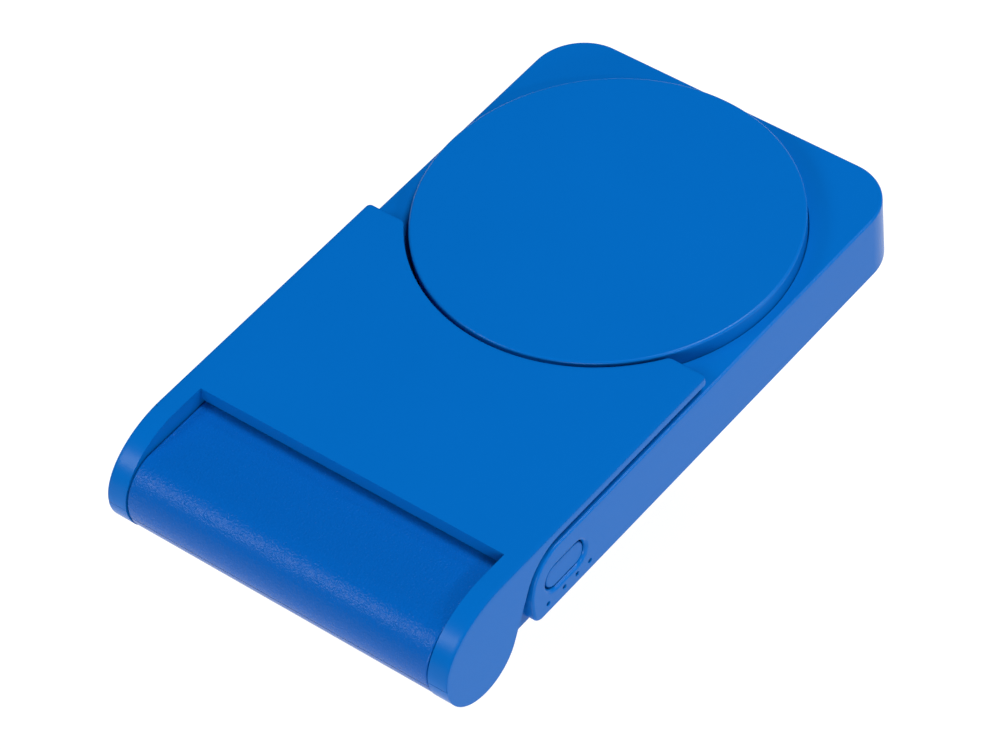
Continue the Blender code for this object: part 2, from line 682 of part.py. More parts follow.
def make_coil():
    """The flat spiral coil on its ferrite sheet, and its two leads down to the board."""
    ferrite = cylinder("ferrite_sheet", (0, DISC_Y, (FERRITE_LOW + FERRITE_HIGH) / 2), FERRITE_RADIUS,
                       FERRITE_HIGH - FERRITE_LOW, segments=48)
    finish(ferrite, FERRITE_GREY, 0.6)
    steps = COIL_TURNS * COIL_STEPS_PER_TURN
    route = []
    for step in range(steps + 1):
        radius = COIL_OUTER + (COIL_INNER - COIL_OUTER) * step / steps
        angle = math.radians(-90 + 360 * COIL_TURNS * step / steps)
        route.append((radius * math.cos(angle), DISC_Y + radius * math.sin(angle), COIL_Z))
    finish(wire("charging_coil", route, COIL_WIRE, 0), COPPER, 0.35, 1.0, 60)

    board_z = BOARD_BOTTOM_Z + BOARD_THICKNESS + COIL_LEAD_RADIUS + 2 * SNUG
    drop = [
        (1.9 * MM, COIL_Z), (0.2 * MM, COIL_Z), (-0.7 * MM, COIL_Z - 0.7 * MM), (-1.0 * MM, 13.8 * MM),
        (-1.7 * MM, COIL_LEAD_UNDER_Z), (-15.0 * MM, COIL_LEAD_UNDER_Z), (-18.2 * MM, 12.0 * MM),
        (-19.6 * MM, 9.2 * MM), (-20.6 * MM, board_z), (-22.0 * MM, board_z),
    ]
    for name, x in (("coil_lead_outer", COIL_LEAD_X), ("coil_lead_inner", -COIL_LEAD_X)):
        lead = wire(name, [(x, y, z) for y, z in drop], COIL_LEAD_RADIUS)
        finish(lead, COPPER, 0.4, 1.0, 60)


def make_charging_module():
    """The carrier that closes the disc from below, the magnets and the coil."""
    carrier = cylinder("coil_carrier", (0, DISC_Y, (CARRIER_LOW + CARRIER_HIGH) / 2),
                       DISC_RADIUS - DISC_WALL - SEAM_GAP, CARRIER_HIGH - CARRIER_LOW, segments=48)
    notch = box("carrier_notch_cutter", (-3 * MM, -6 * MM, CARRIER_LOW - 4 * PAST),
                (3 * MM, 0.9 * MM, CARRIER_HIGH + 2 * PAST))
    finish(cut(carrier, notch), BLACK, 0.5)
    make_magnets()
    make_coil()


# ---------------------------------------------------------------- battery
def make_battery():
    """The pouch cell with its foam pads, heat spreader, protection board, tabs and leads."""
    low = (-CELL_HALF_WIDTH, CELL_NEAR_Y)
    high = (CELL_HALF_WIDTH, CELL_FAR_Y)
    cell = prism("battery_cell", rounded_rectangle(low, high, 2.5 * MM, 4), CELL_BOTTOM_Z, CELL_TOP_Z)
    finish(soften(cell, 0.6 * MM), FOIL, 0.35, 0.6)
    for label, start in FOAM_YS.items():
        pad = box(f"battery_foam_pad_{label}", (-FOAM_HALF_WIDTH, start, BODY_BOTTOM_Z + BOTTOM_SKIN + SNUG),
                  (FOAM_HALF_WIDTH, start + FOAM_LENGTH, CELL_BOTTOM_Z - SNUG))
        finish(pad, BLACK, 0.9)
    spreader_low = CELL_TOP_Z + 1.5 * SNUG
    spreader_plan = rounded_rectangle(low, (CELL_HALF_WIDTH, SPREADER_FAR_Y), 3 * MM, 4)
    spreader = prism("heat_spreader", spreader_plan, spreader_low, spreader_low + SPREADER_THICKNESS)
    finish(spreader, ALUMINIUM, 0.3, 1.0)

    board_top = CELL_BOARD_Z + CELL_BOARD_THICKNESS
    board = box("protection_board", (-CELL_BOARD_HALF_WIDTH, CELL_BOARD_NEAR_Y, CELL_BOARD_Z),
                (CELL_BOARD_HALF_WIDTH, CELL_NEAR_Y - 3 * SNUG, board_top))
    finish(board, BOARD_GREEN, 0.45)
    for name, x in (("cell_tab_positive", -TAB_X), ("cell_tab_negative", TAB_X)):
        tab = box(name, (x - TAB_HALF_WIDTH, CELL_BOARD_NEAR_Y + 1.3 * MM, board_top + SNUG),
                  (x + TAB_HALF_WIDTH, CELL_NEAR_Y - 2 * SNUG, board_top + 3 * SNUG))
        finish(tab, NICKEL, 0.3, 1.0)

    pad_z = BOARD_BOTTOM_Z + BOARD_THICKNESS + BATTERY_LEAD_RADIUS + 1.5 * SNUG
    drop = [
        (-15.2 * MM, CELL_BOARD_Z + 1.55 * MM), (-16.6 * MM, CELL_BOARD_Z + 1.75 * MM),
        (-18.0 * MM, CELL_BOARD_Z + 1.2 * MM), (-18.9 * MM, CELL_BOARD_Z),
        (-19.6 * MM, pad_z + 0.5 * MM), (-20.8 * MM, pad_z), (-22.4 * MM, pad_z),
    ]
    for name, x, colour in (("battery_lead_positive", -BATTERY_LEAD_X, LEAD_RED),
                            ("battery_lead_negative", BATTERY_LEAD_X, BLACK)):
        lead = wire(name, [(x, y, z) for y, z in drop], BATTERY_LEAD_RADIUS)
        finish(lead, colour, 0.4, 0.0, 60)


# ---------------------------------------------------------------- main board
def make_screw(name, x, y, head_low, head_high, tip_z):
    """A pan-head screw that goes up, with a cross recess in its head."""
    profile = [
        (0.0, tip_z), (SCREW_RADIUS, tip_z), (SCREW_RADIUS, head_high), (SCREW_HEAD_RADIUS, head_high),
        (SCREW_HEAD_RADIUS, head_low + 0.3 * MM), (SCREW_HEAD_RADIUS * 0.75, head_low), (0.0, head_low),
    ]
    screw = turned(name, profile, (x, y, 0), steps=16, closed=False)
    arms = ((SCREW_SLOT_LENGTH, SCREW_SLOT_WIDTH), (SCREW_SLOT_WIDTH, SCREW_SLOT_LENGTH))
    for index, (length, width) in enumerate(arms):
        slot = box(f"{name}_slot_{index + 1}", (x - length / 2, y - width / 2, head_low - PAST),
                   (x + length / 2, y + width / 2, head_low + 0.35 * MM))
        cut(screw, slot)
    finish(screw, STEEL, 0.3, 1.0)


def make_main_board():
    """The board under the case's near end, its two screws, chips and inductor."""
    low = (-BOARD_HALF_WIDTH, BOARD_NEAR_Y)
    high = (BOARD_HALF_WIDTH, BOARD_FAR_Y)
    top = BOARD_BOTTOM_Z + BOARD_THICKNESS
    board = prism("main_board", rounded_rectangle(low, high, 1.0 * MM, 3), BOARD_BOTTOM_Z, top)
    for side, label in SIDES:
        hole = cylinder(f"board_hole_cutter_{label}", (side * BOARD_SCREW_X, BOARD_SCREW_Y, top),
                        SCREW_HOLE_RADIUS, 6 * PAST, segments=16)
        cut(board, hole)
        make_screw(f"board_screw_{label}", side * BOARD_SCREW_X, BOARD_SCREW_Y,
                   BOARD_BOTTOM_Z - 1.1 * MM, BOARD_BOTTOM_Z - 1.5 * SNUG, top + 3.5 * MM)
    finish(board, BOARD_GREEN, 0.45)

    base = top + SNUG
    for name, (x, side_length) in CHIPS.items():
        half = side_length / 2
        chip = box(name, (x - half, CHIP_Y - half, base), (x + half, CHIP_Y + half, base + CHIP_HEIGHT))
        finish(chip, BLACK, 0.4)
    inductor = prism("power_inductor", rounded_rectangle(INDUCTOR_LOW, INDUCTOR_HIGH, 1.2 * MM, 3),
                     base, base + INDUCTOR_HEIGHT)
    finish(soften(inductor, 0.3 * MM), FERRITE_GREY, 0.6)


def make_lights():
    """Four LEDs under the board's edge and the guide whose pins end in the case's wall."""
    led_high = BOARD_BOTTOM_Z - SNUG
    for index, light_y in enumerate(LIGHT_YS):
        led = box(f"status_led_{index + 1}", (LED_START_X, light_y - LED_HALF_LENGTH, led_high - LED_HEIGHT),
                  (LED_END_X, light_y + LED_HALF_LENGTH, led_high))
        finish(led, LED_YELLOW, 0.3)
    guide = box("led_light_guide", (GUIDE_START_X, LIGHT_YS[0] - 0.6 * MM, GUIDE_LOW_Z),
                (GUIDE_END_X, LIGHT_YS[-1] + 0.6 * MM, GUIDE_HIGH_Z))
    pin_start = GUIDE_END_X - SNUG
    pin_end = BODY_HALF_WIDTH - LIGHT_DEPTH
    for index, light_y in enumerate(LIGHT_YS):
        pin = cylinder(f"light_pin_{index + 1}", ((pin_start + pin_end) / 2, light_y, LIGHT_Z + JOIN_STEP),
                       LIGHT_RADIUS, pin_end - pin_start, "X", 12)
        join(guide, pin)
    finish(guide, CLEAR, 0.15)


def make_socket():
    """The metal shell of the charging socket, open at its mouth, and the tongue in it."""
    mouth_x = -BODY_HALF_WIDTH + 0.3 * MM
    back_x = mouth_x + SOCKET_DEPTH
    centre = (SOCKET_Y, SOCKET_Z)
    outer = oval(centre, SOCKET_WIDTH, SOCKET_HEIGHT, 6)
    inner = oval(centre, SOCKET_WIDTH - 2 * SOCKET_SHEET, SOCKET_HEIGHT - 2 * SOCKET_SHEET, 6)
    shell = prism("usb_c_socket", outer, mouth_x, back_x, "YZ")
    room = prism("socket_room_cutter", inner, mouth_x - PAST, back_x - 0.8 * MM, "YZ")
    finish(cut(shell, room), STEEL, 0.25, 1.0)
    tongue = box("usb_c_tongue",
                 (mouth_x + 0.7 * MM, SOCKET_Y - TONGUE_HALF_WIDTH, SOCKET_Z - TONGUE_HALF_THICKNESS),
                 (back_x - 1.0 * MM, SOCKET_Y + TONGUE_HALF_WIDTH, SOCKET_Z + TONGUE_HALF_THICKNESS))
    finish(soften(tongue, 0.12 * MM, 1), BLACK, 0.4)


def make_switch():
    """The switch on the board, with a well that its plunger slides in."""
    base = BOARD_BOTTOM_Z + BOARD_THICKNESS + SNUG
    switch = box("tactile_switch", (SWITCH_START_X, BUTTON_Y - SWITCH_HALF_LENGTH, base),
                 (SWITCH_END_X, BUTTON_Y + SWITCH_HALF_LENGTH, SWITCH_TOP_Z))
    half_length = PLUNGER_HALF_LENGTH + RUNNING_GAP
    half_height = PLUNGER_HALF_HEIGHT + RUNNING_GAP
    well = box("switch_well_cutter",
               (PLUNGER_START_X - 0.5 * MM, BUTTON_Y - half_length, BUTTON_Z - half_height),
               (SWITCH_END_X + PAST, BUTTON_Y + half_length, BUTTON_Z + half_height))
    finish(cut(soften(switch, 0.15 * MM, 1), well), BLACK, 0.4)


def make_button():
    """The button and the switch's plunger, which move together on one axis."""
    face_x = BODY_HALF_WIDTH - BUTTON_FACE_DEPTH
    length = BUTTON_LENGTH - 2 * BUTTON_GAP
    height = BUTTON_HEIGHT - 2 * BUTTON_GAP
    centre = (BUTTON_Y, BUTTON_Z)
    button = prism("power_button", oval(centre, length, height), BUTTON_BACK_X, face_x, "YZ")
    soften(button, 0.25 * MM)
    flange = prism("button_flange_guide", oval(centre, length + 1.6 * MM, height + 1.2 * MM),
                   BUTTON_BACK_X, BUTTON_BACK_X + BUTTON_FLANGE, "YZ")
    finish(join(button, flange), SHELL_BLUE, 0.42)
    plunger = box("switch_plunger",
                  (PLUNGER_START_X, BUTTON_Y - PLUNGER_HALF_LENGTH, BUTTON_Z - PLUNGER_HALF_HEIGHT),
                  (BUTTON_BACK_X - SNUG, BUTTON_Y + PLUNGER_HALF_LENGTH, BUTTON_Z + PLUNGER_HALF_HEIGHT))
    finish(plunger, WHITE, 0.4)
    button_axis = add_axis("button_axis", (face_x, BUTTON_Y, BUTTON_Z))
    for item in (button, plunger):
        ride_on(item, button_axis)


# ---------------------------------------------------------------- hinge
def add_axis(name, place):
    """An empty on a joint's axis, which its moving pieces are parented to."""
    axis = bpy.data.objects.new(name, None)
    PARTS.objects.link(axis)
    axis.location = place
    bpy.context.view_layer.update()
    return axis


def ride_on(item, empty):
    item.parent = empty
    item.matrix_parent_inverse = empty.matrix_world.inverted()


def span(side, first, second):
    """Low and high x of a piece on the right, or of its mirror image on the left."""
    return sorted((side * first, side * second))


def mirrored(side, profile):
    """A turned profile for the right-hand side, or its mirror image for the left."""
    return profile if side > 0 else [(radius, -height) for radius, height in reversed(profile)]


def make_shaft(side, label):
    """The shaft through the barrel's end, with a flat that keys it to the ear."""
    shaft = cylinder(f"hinge_shaft_{label}", (side * (SHAFT_START_X + SHAFT_END_X) / 2, HINGE_Y, HINGE_Z),
                     SHAFT_RADIUS, SHAFT_END_X - SHAFT_START_X, "X", 24)
    low, high = span(side, (BARREL_HALF_WIDTH + EAR_INNER_X) / 2, SHAFT_END_X + PAST)
    flat = box(f"shaft_flat_cutter_{label}", (low, HINGE_Y - KEY_HALF_WIDTH, HINGE_Z + KEY_FLAT),
               (high, HINGE_Y + KEY_HALF_WIDTH, HINGE_Z + KEY_HALF_WIDTH))
    return finish(cut(shaft, flat), STEEL, 0.25, 1.0)


def make_bush(side, label):
    """The flanged bush in the barrel's end wall."""
    inner = SHAFT_RADIUS + RUNNING_GAP
    step = BARREL_HALF_WIDTH - BARREL_WALL - SEAM_GAP
    back = step - BUSH_FLANGE_THICKNESS
    profile = [(inner, BARREL_HALF_WIDTH), (BUSH_RADIUS, BARREL_HALF_WIDTH), (BUSH_RADIUS, step),
               (BUSH_FLANGE_RADIUS, step), (BUSH_FLANGE_RADIUS, back), (inner, back)]
    bush = turned(f"hinge_bush_{label}", mirrored(side, profile), (0, HINGE_Y, HINGE_Z), "X", 24)
    finish(bush, WHITE, 0.4)


def make_bracket(side, label):
    """The steel bracket that holds the shaft to the case, and its screw."""
    low, high = span(side, BRACKET_NEAR_X, BRACKET_FAR_X)
    tab_low_z = TAB_TOP_Z - TAB_THICKNESS
    eye = arc((HINGE_Y, HINGE_Z), BRACKET_EYE_RADIUS, 80, 330, 14)
    arm = [(BRACKET_ARM_Y, HINGE_Z - 0.8 * MM), (BRACKET_FAR_Y, tab_low_z - 0.5 * MM),
           (BRACKET_FAR_Y, TAB_TOP_Z)]
    bracket = prism(f"hinge_bracket_{label}", eye + arm, low, high, "YZ")
    tab_low, tab_high = span(side, TAB_INNER_X, BRACKET_FAR_X)
    tab = box(f"bracket_tab_guide_{label}", (tab_low, TAB_NEAR_Y, tab_low_z),
              (tab_high, BRACKET_FAR_Y, TAB_TOP_Z))
    eye_hole = cylinder(f"bracket_eye_cutter_{label}", (side * BRACKET_NEAR_X, HINGE_Y, HINGE_Z),
                        SHAFT_RADIUS + RUNNING_GAP, 8 * PAST, "X", 24)
    tab_hole = cylinder(f"bracket_hole_cutter_{label}", (side * BRACKET_SCREW_X, BRACKET_SCREW_Y, TAB_TOP_Z),
                        SCREW_HOLE_RADIUS, 6 * PAST, segments=16)
    finish(cut(join(bracket, tab), eye_hole, tab_hole), STEEL, 0.35, 1.0)
    make_screw(f"bracket_screw_{label}", side * BRACKET_SCREW_X, BRACKET_SCREW_Y,
               tab_low_z - 1.1 * MM, tab_low_z - 1.5 * SNUG, BRACKET_SCREW_TIP_Z)


def make_clamp(side, label):
    """The cupped spring washer and the nut that press the bracket and make the hinge stiff."""
    hole = SHAFT_RADIUS + SNUG
    cup_x = BRACKET_NEAR_X - 2 * SNUG
    back_x = cup_x - WASHER_THICKNESS
    cup = [(hole, cup_x - WASHER_RISE), (WASHER_RADIUS, cup_x), (WASHER_RADIUS, back_x),
           (hole, back_x - WASHER_RISE)]
    washer = turned(f"spring_washer_{label}", mirrored(side, cup), (0, HINGE_Y, HINGE_Z), "X", 24)
    finish(washer, STEEL, 0.3, 1.0)
    nut_high = back_x - WASHER_RISE - SNUG
    nut_x = side * (nut_high - NUT_LENGTH / 2)
    nut = cylinder(f"lock_nut_{label}", (nut_x, HINGE_Y, HINGE_Z), NUT_RADIUS, NUT_LENGTH, "X", 6)
    nut_hole = cylinder(f"nut_hole_cutter_{label}", (nut_x, HINGE_Y, HINGE_Z), hole, 12 * PAST, "X", 24)
    finish(cut(nut, nut_hole), STEEL, 0.3, 1.0)
    return washer, nut


def make_hinge(flap_axis):
    """Both ends of the hinge; the shafts, washers and nuts turn with the flap."""
    for side, label in SIDES:
        shaft = make_shaft(side, label)
        make_bush(side, label)
        make_bracket(side, label)
        for item in (shaft, *make_clamp(side, label)):
            ride_on(item, flap_axis)


# ---------------------------------------------------------------- stand flap
def is_upper_rim(edge):
    """True for an edge of the upper side outline, from the ears' fronts to the far end."""
    ends = [vert.co for vert in edge.verts]
    on_side = all(abs(abs(end.x) - FLAP_HALF_WIDTH) < JOIN_STEP for end in ends)
    same_side = ends[0].x * ends[1].x > 0
    sharp = len(edge.link_faces) == 2 and edge.calc_face_angle(0.0) > math.radians(60)
    in_front = all(end.y < HINGE_Y and end.z > HINGE_Z - JOIN_STEP for end in ends)
    over_ear = all(end.z > HINGE_Z + EAR_RADIUS for end in ends)
    on_top = over_ear and any(end.z > FLAP_EDGE_Z + SNUG for end in ends)
    return on_side and same_side and sharp and (in_front or on_top)


def round_upper_rim(item):
    """Round the two upper outline edges with a weighted bevel."""
    bm = bmesh.new()
    bm.from_mesh(item.data)
    weight = bm.edges.layers.float.new("bevel_weight_edge")
    for edge in bm.edges:
        edge[weight] = 1.0 if is_upper_rim(edge) else 0.0
    bm.to_mesh(item.data)
    bm.free()
    bevel = item.modifiers.new("round_rim", "BEVEL")
    bevel.limit_method = "WEIGHT"
    bevel.width = FLAP_EDGE_ROUND
    bevel.segments = 3


def make_flap_cover(pocket_near):
    """The outer shell: plate, two ears, a sill at the window and a pocket for the stiffener."""
    cover = prism("flap_cover", ear_outline(FLAP_FAR_Y + 3 * PAST, FLAP_EDGE_Z),
                  -FLAP_HALF_WIDTH, FLAP_HALF_WIDTH, "YZ")
    round_upper_rim(cover)
    trim = prism("flap_plan_guide", flap_plan(0.0, NEAR_PAST_Y), UNDER_Z, OVER_Z)
    boolean(cover, trim, "INTERSECT")
    window = box("flap_window_cutter", (-EAR_INNER_X, NEAR_PAST_Y, UNDER_Z), (EAR_INNER_X, WINDOW_Y, OVER_Z))
    back = box("flap_back_cutter", (-EAR_INNER_X, WINDOW_Y - PAST, UNDER_Z),
               (EAR_INNER_X, FLAP_BACK_FAR_Y, FLAP_EDGE_Z))
    cut(cover, window, back)
    sill_half = EAR_INNER_X + 0.4 * MM
    sill = box("flap_sill_guide", (-sill_half, WINDOW_Y, FLAP_BASE_Z),
               (sill_half, WINDOW_Y + WINDOW_WALL, FLAP_EDGE_Z + 0.4 * MM))
    join(cover, sill)
    pocket = prism("flap_pocket_cutter", flap_plan(POCKET_INSET, POCKET_PLATE_Y), FLAP_BASE_Z, POCKET_TOP_Z)
    neck_half = EAR_INNER_X - 1.2 * MM
    near_pocket = box("flap_near_pocket_cutter", (-neck_half, pocket_near, FLAP_BASE_Z),
                      (neck_half, NECK_PLATE_FAR_Y, POCKET_TOP_Z))
    cut(cover, pocket, near_pocket)
    for side, label in SIDES:
        low, high = span(side, EAR_INNER_X - PAST, SHAFT_END_X + 2 * SNUG)
        socket = cylinder(f"ear_socket_cutter_{label}", ((low + high) / 2, HINGE_Y, HINGE_Z),
                          SHAFT_RADIUS + RUNNING_GAP, high - low, "X", 24)
        key_low = (low - PAST, HINGE_Y - KEY_HALF_WIDTH, HINGE_Z + KEY_FLAT + RUNNING_GAP)
        key_high = (high + PAST, HINGE_Y + KEY_HALF_WIDTH, HINGE_Z + KEY_HALF_WIDTH)
        key = box(f"ear_key_cutter_{label}", key_low, key_high)
        cut(cover, cut(socket, key))
    return finish(cover, SHELL_BLUE, 0.40)


def make_flap_sheet(name, inset, plate_y, neck_half, neck_near, low, high):
    """A thin sheet in the flap: the flap's plan at an inset, and a narrower neck behind the sill."""
    sheet = prism(name, flap_plan(inset, plate_y), low, high)
    neck = box(name + "_neck_guide", (-neck_half, neck_near, low), (neck_half, NECK_PLATE_FAR_Y, high))
    return join(sheet, neck)


def make_flap(flap_axis):
    """The stand flap: cover with its ears, inner cover and stiffening sheet between them."""
    pocket_near = WINDOW_Y + WINDOW_WALL + SEAM_GAP
    cover = make_flap_cover(pocket_near)
    liner_top = FLAP_BASE_Z + LINER_THICKNESS
    liner = make_flap_sheet("flap_inner_cover", LINER_INSET, LINER_PLATE_Y, EAR_INNER_X - SEAM_GAP,
                            pocket_near, FLAP_BASE_Z, liner_top)
    finish(liner, SHELL_BLUE, 0.45)
    sheet_low = liner_top + SNUG
    sheet = make_flap_sheet("flap_stiffener", POCKET_INSET + SEAM_GAP, STIFFENER_PLATE_Y,
                            EAR_INNER_X - STIFFENER_NECK_INSET, pocket_near + SEAM_GAP,
                            sheet_low, sheet_low + STIFFENER_THICKNESS)
    finish(sheet, STEEL, 0.3, 1.0)
    for item in (cover, liner, sheet):
        ride_on(item, flap_axis)


def main():
    """Build every sub-assembly."""
    make_top_housing()
    make_bottom_cover()
    make_disc_cap()
    make_charging_module()
    make_battery()
    make_main_board()
    make_lights()
    make_socket()
    make_switch()
    make_button()
    flap_axis = add_axis("flap_axis", (0, HINGE_Y, HINGE_Z))
    make_flap(flap_axis)
    make_hinge(flap_axis)


main()
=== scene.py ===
"""Looks of a folding-stand magnetic power bank, closed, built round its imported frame.

Each sub-assembly is a class with its sizes as fields, and each finish is a small frozen dataclass.
The frame's own axes hold everywhere: X along the hinge, Y from the hinge to the far end, Z up, in metres.
"""
import json
import logging
import math
from collections.abc import Callable, Sequence
from dataclasses import dataclass, field
from enum import Enum

import bmesh
import bpy
from mathutils import Matrix, Vector


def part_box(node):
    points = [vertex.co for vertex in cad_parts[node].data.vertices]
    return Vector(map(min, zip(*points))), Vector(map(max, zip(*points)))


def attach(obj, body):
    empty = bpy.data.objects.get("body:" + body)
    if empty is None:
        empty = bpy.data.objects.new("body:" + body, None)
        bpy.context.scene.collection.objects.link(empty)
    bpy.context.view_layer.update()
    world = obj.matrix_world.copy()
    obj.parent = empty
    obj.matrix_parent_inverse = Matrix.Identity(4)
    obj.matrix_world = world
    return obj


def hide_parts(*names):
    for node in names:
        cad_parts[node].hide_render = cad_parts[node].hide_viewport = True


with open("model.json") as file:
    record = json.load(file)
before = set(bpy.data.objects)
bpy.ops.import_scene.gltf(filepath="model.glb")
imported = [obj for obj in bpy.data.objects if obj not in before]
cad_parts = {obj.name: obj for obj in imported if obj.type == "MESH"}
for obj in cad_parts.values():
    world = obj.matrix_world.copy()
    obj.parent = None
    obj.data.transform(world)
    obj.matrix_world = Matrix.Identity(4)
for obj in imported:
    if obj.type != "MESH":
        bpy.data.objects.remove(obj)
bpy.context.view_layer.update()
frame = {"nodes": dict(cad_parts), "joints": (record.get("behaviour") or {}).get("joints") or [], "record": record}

LOG = logging.getLogger("power_bank")
MM = 0.001
SKIN = 0.01 * MM
PAST = 1.0 * MM
MERGE = 0.0005 * MM
SHARP_DEG = 32.0
CORNER_DEG = 40.0
RIM_DEG = 50.0
# Where cutters end, clear of the object on each side.
BESIDE = 40.0 * MM
AHEAD = -60.0 * MM
BENEATH = -5.0 * MM
ABOVE = 25.0 * MM

Point = tuple[float, float]
Outline = list[Point]
Colour = tuple[float, float, float, float]


# ---------------------------------------------------------------- small helpers
def linear(code: str) -> Colour:
    """Turn an sRGB hex colour into linear light.

    Args:
        code: A colour such as "#0768C0".

    Returns:
        Linear red, green, blue and an alpha of one.
    """
    shares = [int(code[start:start + 2], 16) / 255 for start in (1, 3, 5)]
    curve = [share / 12.92 if share <= 0.04045 else ((share + 0.055) / 1.055) ** 2.4 for share in shares]
    return (curve[0], curve[1], curve[2], 1.0)


def add_node(tree: bpy.types.NodeTree, kind: str, settings: dict | None = None,
             links: dict | None = None) -> bpy.types.Node:
    """Add one shader node.

    Args:
        tree: The material's or the world's node tree.
        kind: The node's class name.
        settings: Properties of the node, or default values of its input sockets, by name.
        links: Output sockets that feed this node's input sockets, by input name or index.

    Returns:
        The new node.
    """
    node = tree.nodes.new(kind)
    for name, value in (settings or {}).items():
        if name in node.inputs:
            node.inputs[name].default_value = value
        else:
            setattr(node, name, value)
    for socket, source in (links or {}).items():
        tree.links.new(source, node.inputs[socket])
    return node


def to_object(name: str, bm: bmesh.types.BMesh) -> bpy.types.Object:
    """Turn a bmesh into an object in the scene, with its faces pointing out."""
    bmesh.ops.remove_doubles(bm, verts=bm.verts, dist=MERGE)
    bmesh.ops.recalc_face_normals(bm, faces=bm.faces)
    mesh = bpy.data.meshes.new(name)
    bm.to_mesh(mesh)
    bm.free()
    item = bpy.data.objects.new(name, mesh)
    bpy.context.scene.collection.objects.link(item)
    return item


def settle(item: bpy.types.Object) -> bpy.types.Object:
    """Replace an object's mesh by what its modifiers make of it."""
    bpy.context.view_layer.update()
    graph = bpy.context.evaluated_depsgraph_get()
    made = bpy.data.meshes.new_from_object(item.evaluated_get(graph))
    before = item.data
    item.modifiers.clear()
    item.data = made
    bpy.data.meshes.remove(before)
    return item


# ---------------------------------------------------------------- outlines
def arc(centre: Point, radius: float, start: float, end: float, steps: int,
        rise: float | None = None) -> Outline:
    """Points along a circle, or along an ellipse.

    Args:
        centre: The middle.
        radius: Half the width.
        start: First angle in degrees.
        end: Last angle in degrees.
        steps: Number of straight pieces.
        rise: Half the height, where it isn't a circle.

    Returns:
        The points, both ends included.
    """
    height = radius if rise is None else rise
    turns = [math.radians(start + (end - start) * step / steps) for step in range(steps + 1)]
    return [(centre[0] + radius * math.cos(turn), centre[1] + height * math.sin(turn)) for turn in turns]


def oval(centre: Point, length: float, height: float, steps: int = 24) -> Callable[[float], Outline]:
    """A slot with round ends.

    Args:
        centre: The slot's middle.
        length: Overall length.
        height: Overall height, which is also the diameter of its ends.
        steps: Straight pieces in each end.

    Returns:
        A function from an inset to the outline drawn that much smaller.
    """
    half = (length - height) / 2

    def drawn(inset: float) -> Outline:
        """The slot, smaller all round by the inset."""
        radius = height / 2 - inset
        right = arc((centre[0] + half, centre[1]), radius, -90, 90, steps)
        left = arc((centre[0] - half, centre[1]), radius, 90, 270, steps)
        return right + left

    return drawn


class Plane(Enum):
    """The plane that an outline is drawn in."""

    LEVEL = "XY, seen from above"
    SIDE = "YZ, seen along the hinge"

    def point(self, place: Point, height: float) -> Vector:
        """A point of the outline, raised off the plane."""
        return Vector((*place, height)) if self is Plane.LEVEL else Vector((height, *place))


# ---------------------------------------------------------------- solids
def loft(name: str, rings: Sequence[Sequence[Vector]]) -> bpy.types.Object:
    """Skin a stack of matching closed rings and cap both ends."""
    bm = bmesh.new()
    rows = [[bm.verts.new(point) for point in ring] for ring in rings]
    for lower, upper in zip(rows, rows[1:]):
        for index, corner in enumerate(lower):
            after = (index + 1) % len(lower)
            bm.faces.new((corner, lower[after], upper[after], upper[index]))
    bm.faces.new(list(reversed(rows[0])))
    bm.faces.new(rows[-1])
    return to_object(name, bm)


def prism(name: str, outline: Outline, low: float, high: float,
          plane: Plane = Plane.LEVEL) -> bpy.types.Object:
    """Raise a flat outline between two heights off its plane."""
    return loft(name, [[plane.point(place, height) for place in outline] for height in (low, high)])


def rounded(name: str, drawn: Callable[[float], Outline], low: float, high: float, plane: Plane,
            low_round: float = 0.0, high_round: float = 0.0, steps: int = 6) -> bpy.types.Object:
    """A prism whose end edges are rounded, or flared outwards where a round is negative.

    Args:
        name: The object's name.
        drawn: Gives the outline at an inset.
        low: Height of the low end.
        high: Height of the high end.
        plane: The outline's plane.
        low_round: Radius at the low end.
        high_round: Radius at the high end.
        steps: Straight pieces in each rounding.

    Returns:
        The closed solid.
    """
    levels = []
    for end, radius, inward in ((low, low_round, 1), (high, high_round, -1)):
        turns = [math.radians(90 * step / steps) for step in range(steps + 1)] if radius else [0.0]
        rings = [(end + inward * abs(radius) * (1 - math.sin(turn)), radius * (1 - math.cos(turn)))
                 for turn in turns]
        levels += rings if inward < 0 else list(reversed(rings))
    return loft(name, [[plane.point(place, height) for place in drawn(inset)] for height, inset in levels])


def box(name: str, low: Point | Sequence[float], high: Sequence[float]) -> bpy.types.Object:
    """A block between two corners, used as a cutter or a rib."""
    bm = bmesh.new()
    size = Vector(high) - Vector(low)
    middle = (Vector(high) + Vector(low)) / 2
    bmesh.ops.create_cube(bm, size=1.0, matrix=Matrix.Translation(middle) @ Matrix.Diagonal((*size, 1.0)))
    return to_object(name, bm)


def turned(name: str, profile: Outline, axis: Point, steps: int = 240) -> bpy.types.Object:
    """Turn a (radius, height) profile about an upright axis.

    Args:
        name: The object's name.
        profile: Points down the profile; it starts and ends on the axis, or closes on itself.
        axis: Where the axis stands, in x and y.
        steps: Straight pieces round the axis.

    Returns:
        The turned solid.
    """
    bm = bmesh.new()
    corners = [bm.verts.new((radius, 0.0, height)) for radius, height in profile]
    edges = [bm.edges.new(pair) for pair in zip(corners, corners[1:])]
    bmesh.ops.spin(bm, geom=corners + edges, cent=(0, 0, 0), axis=(0, 0, 1), angle=math.tau,
                   steps=steps, use_merge=True)
    bmesh.ops.translate(bm, verts=bm.verts, vec=(*axis, 0.0))
    return to_object(name, bm)


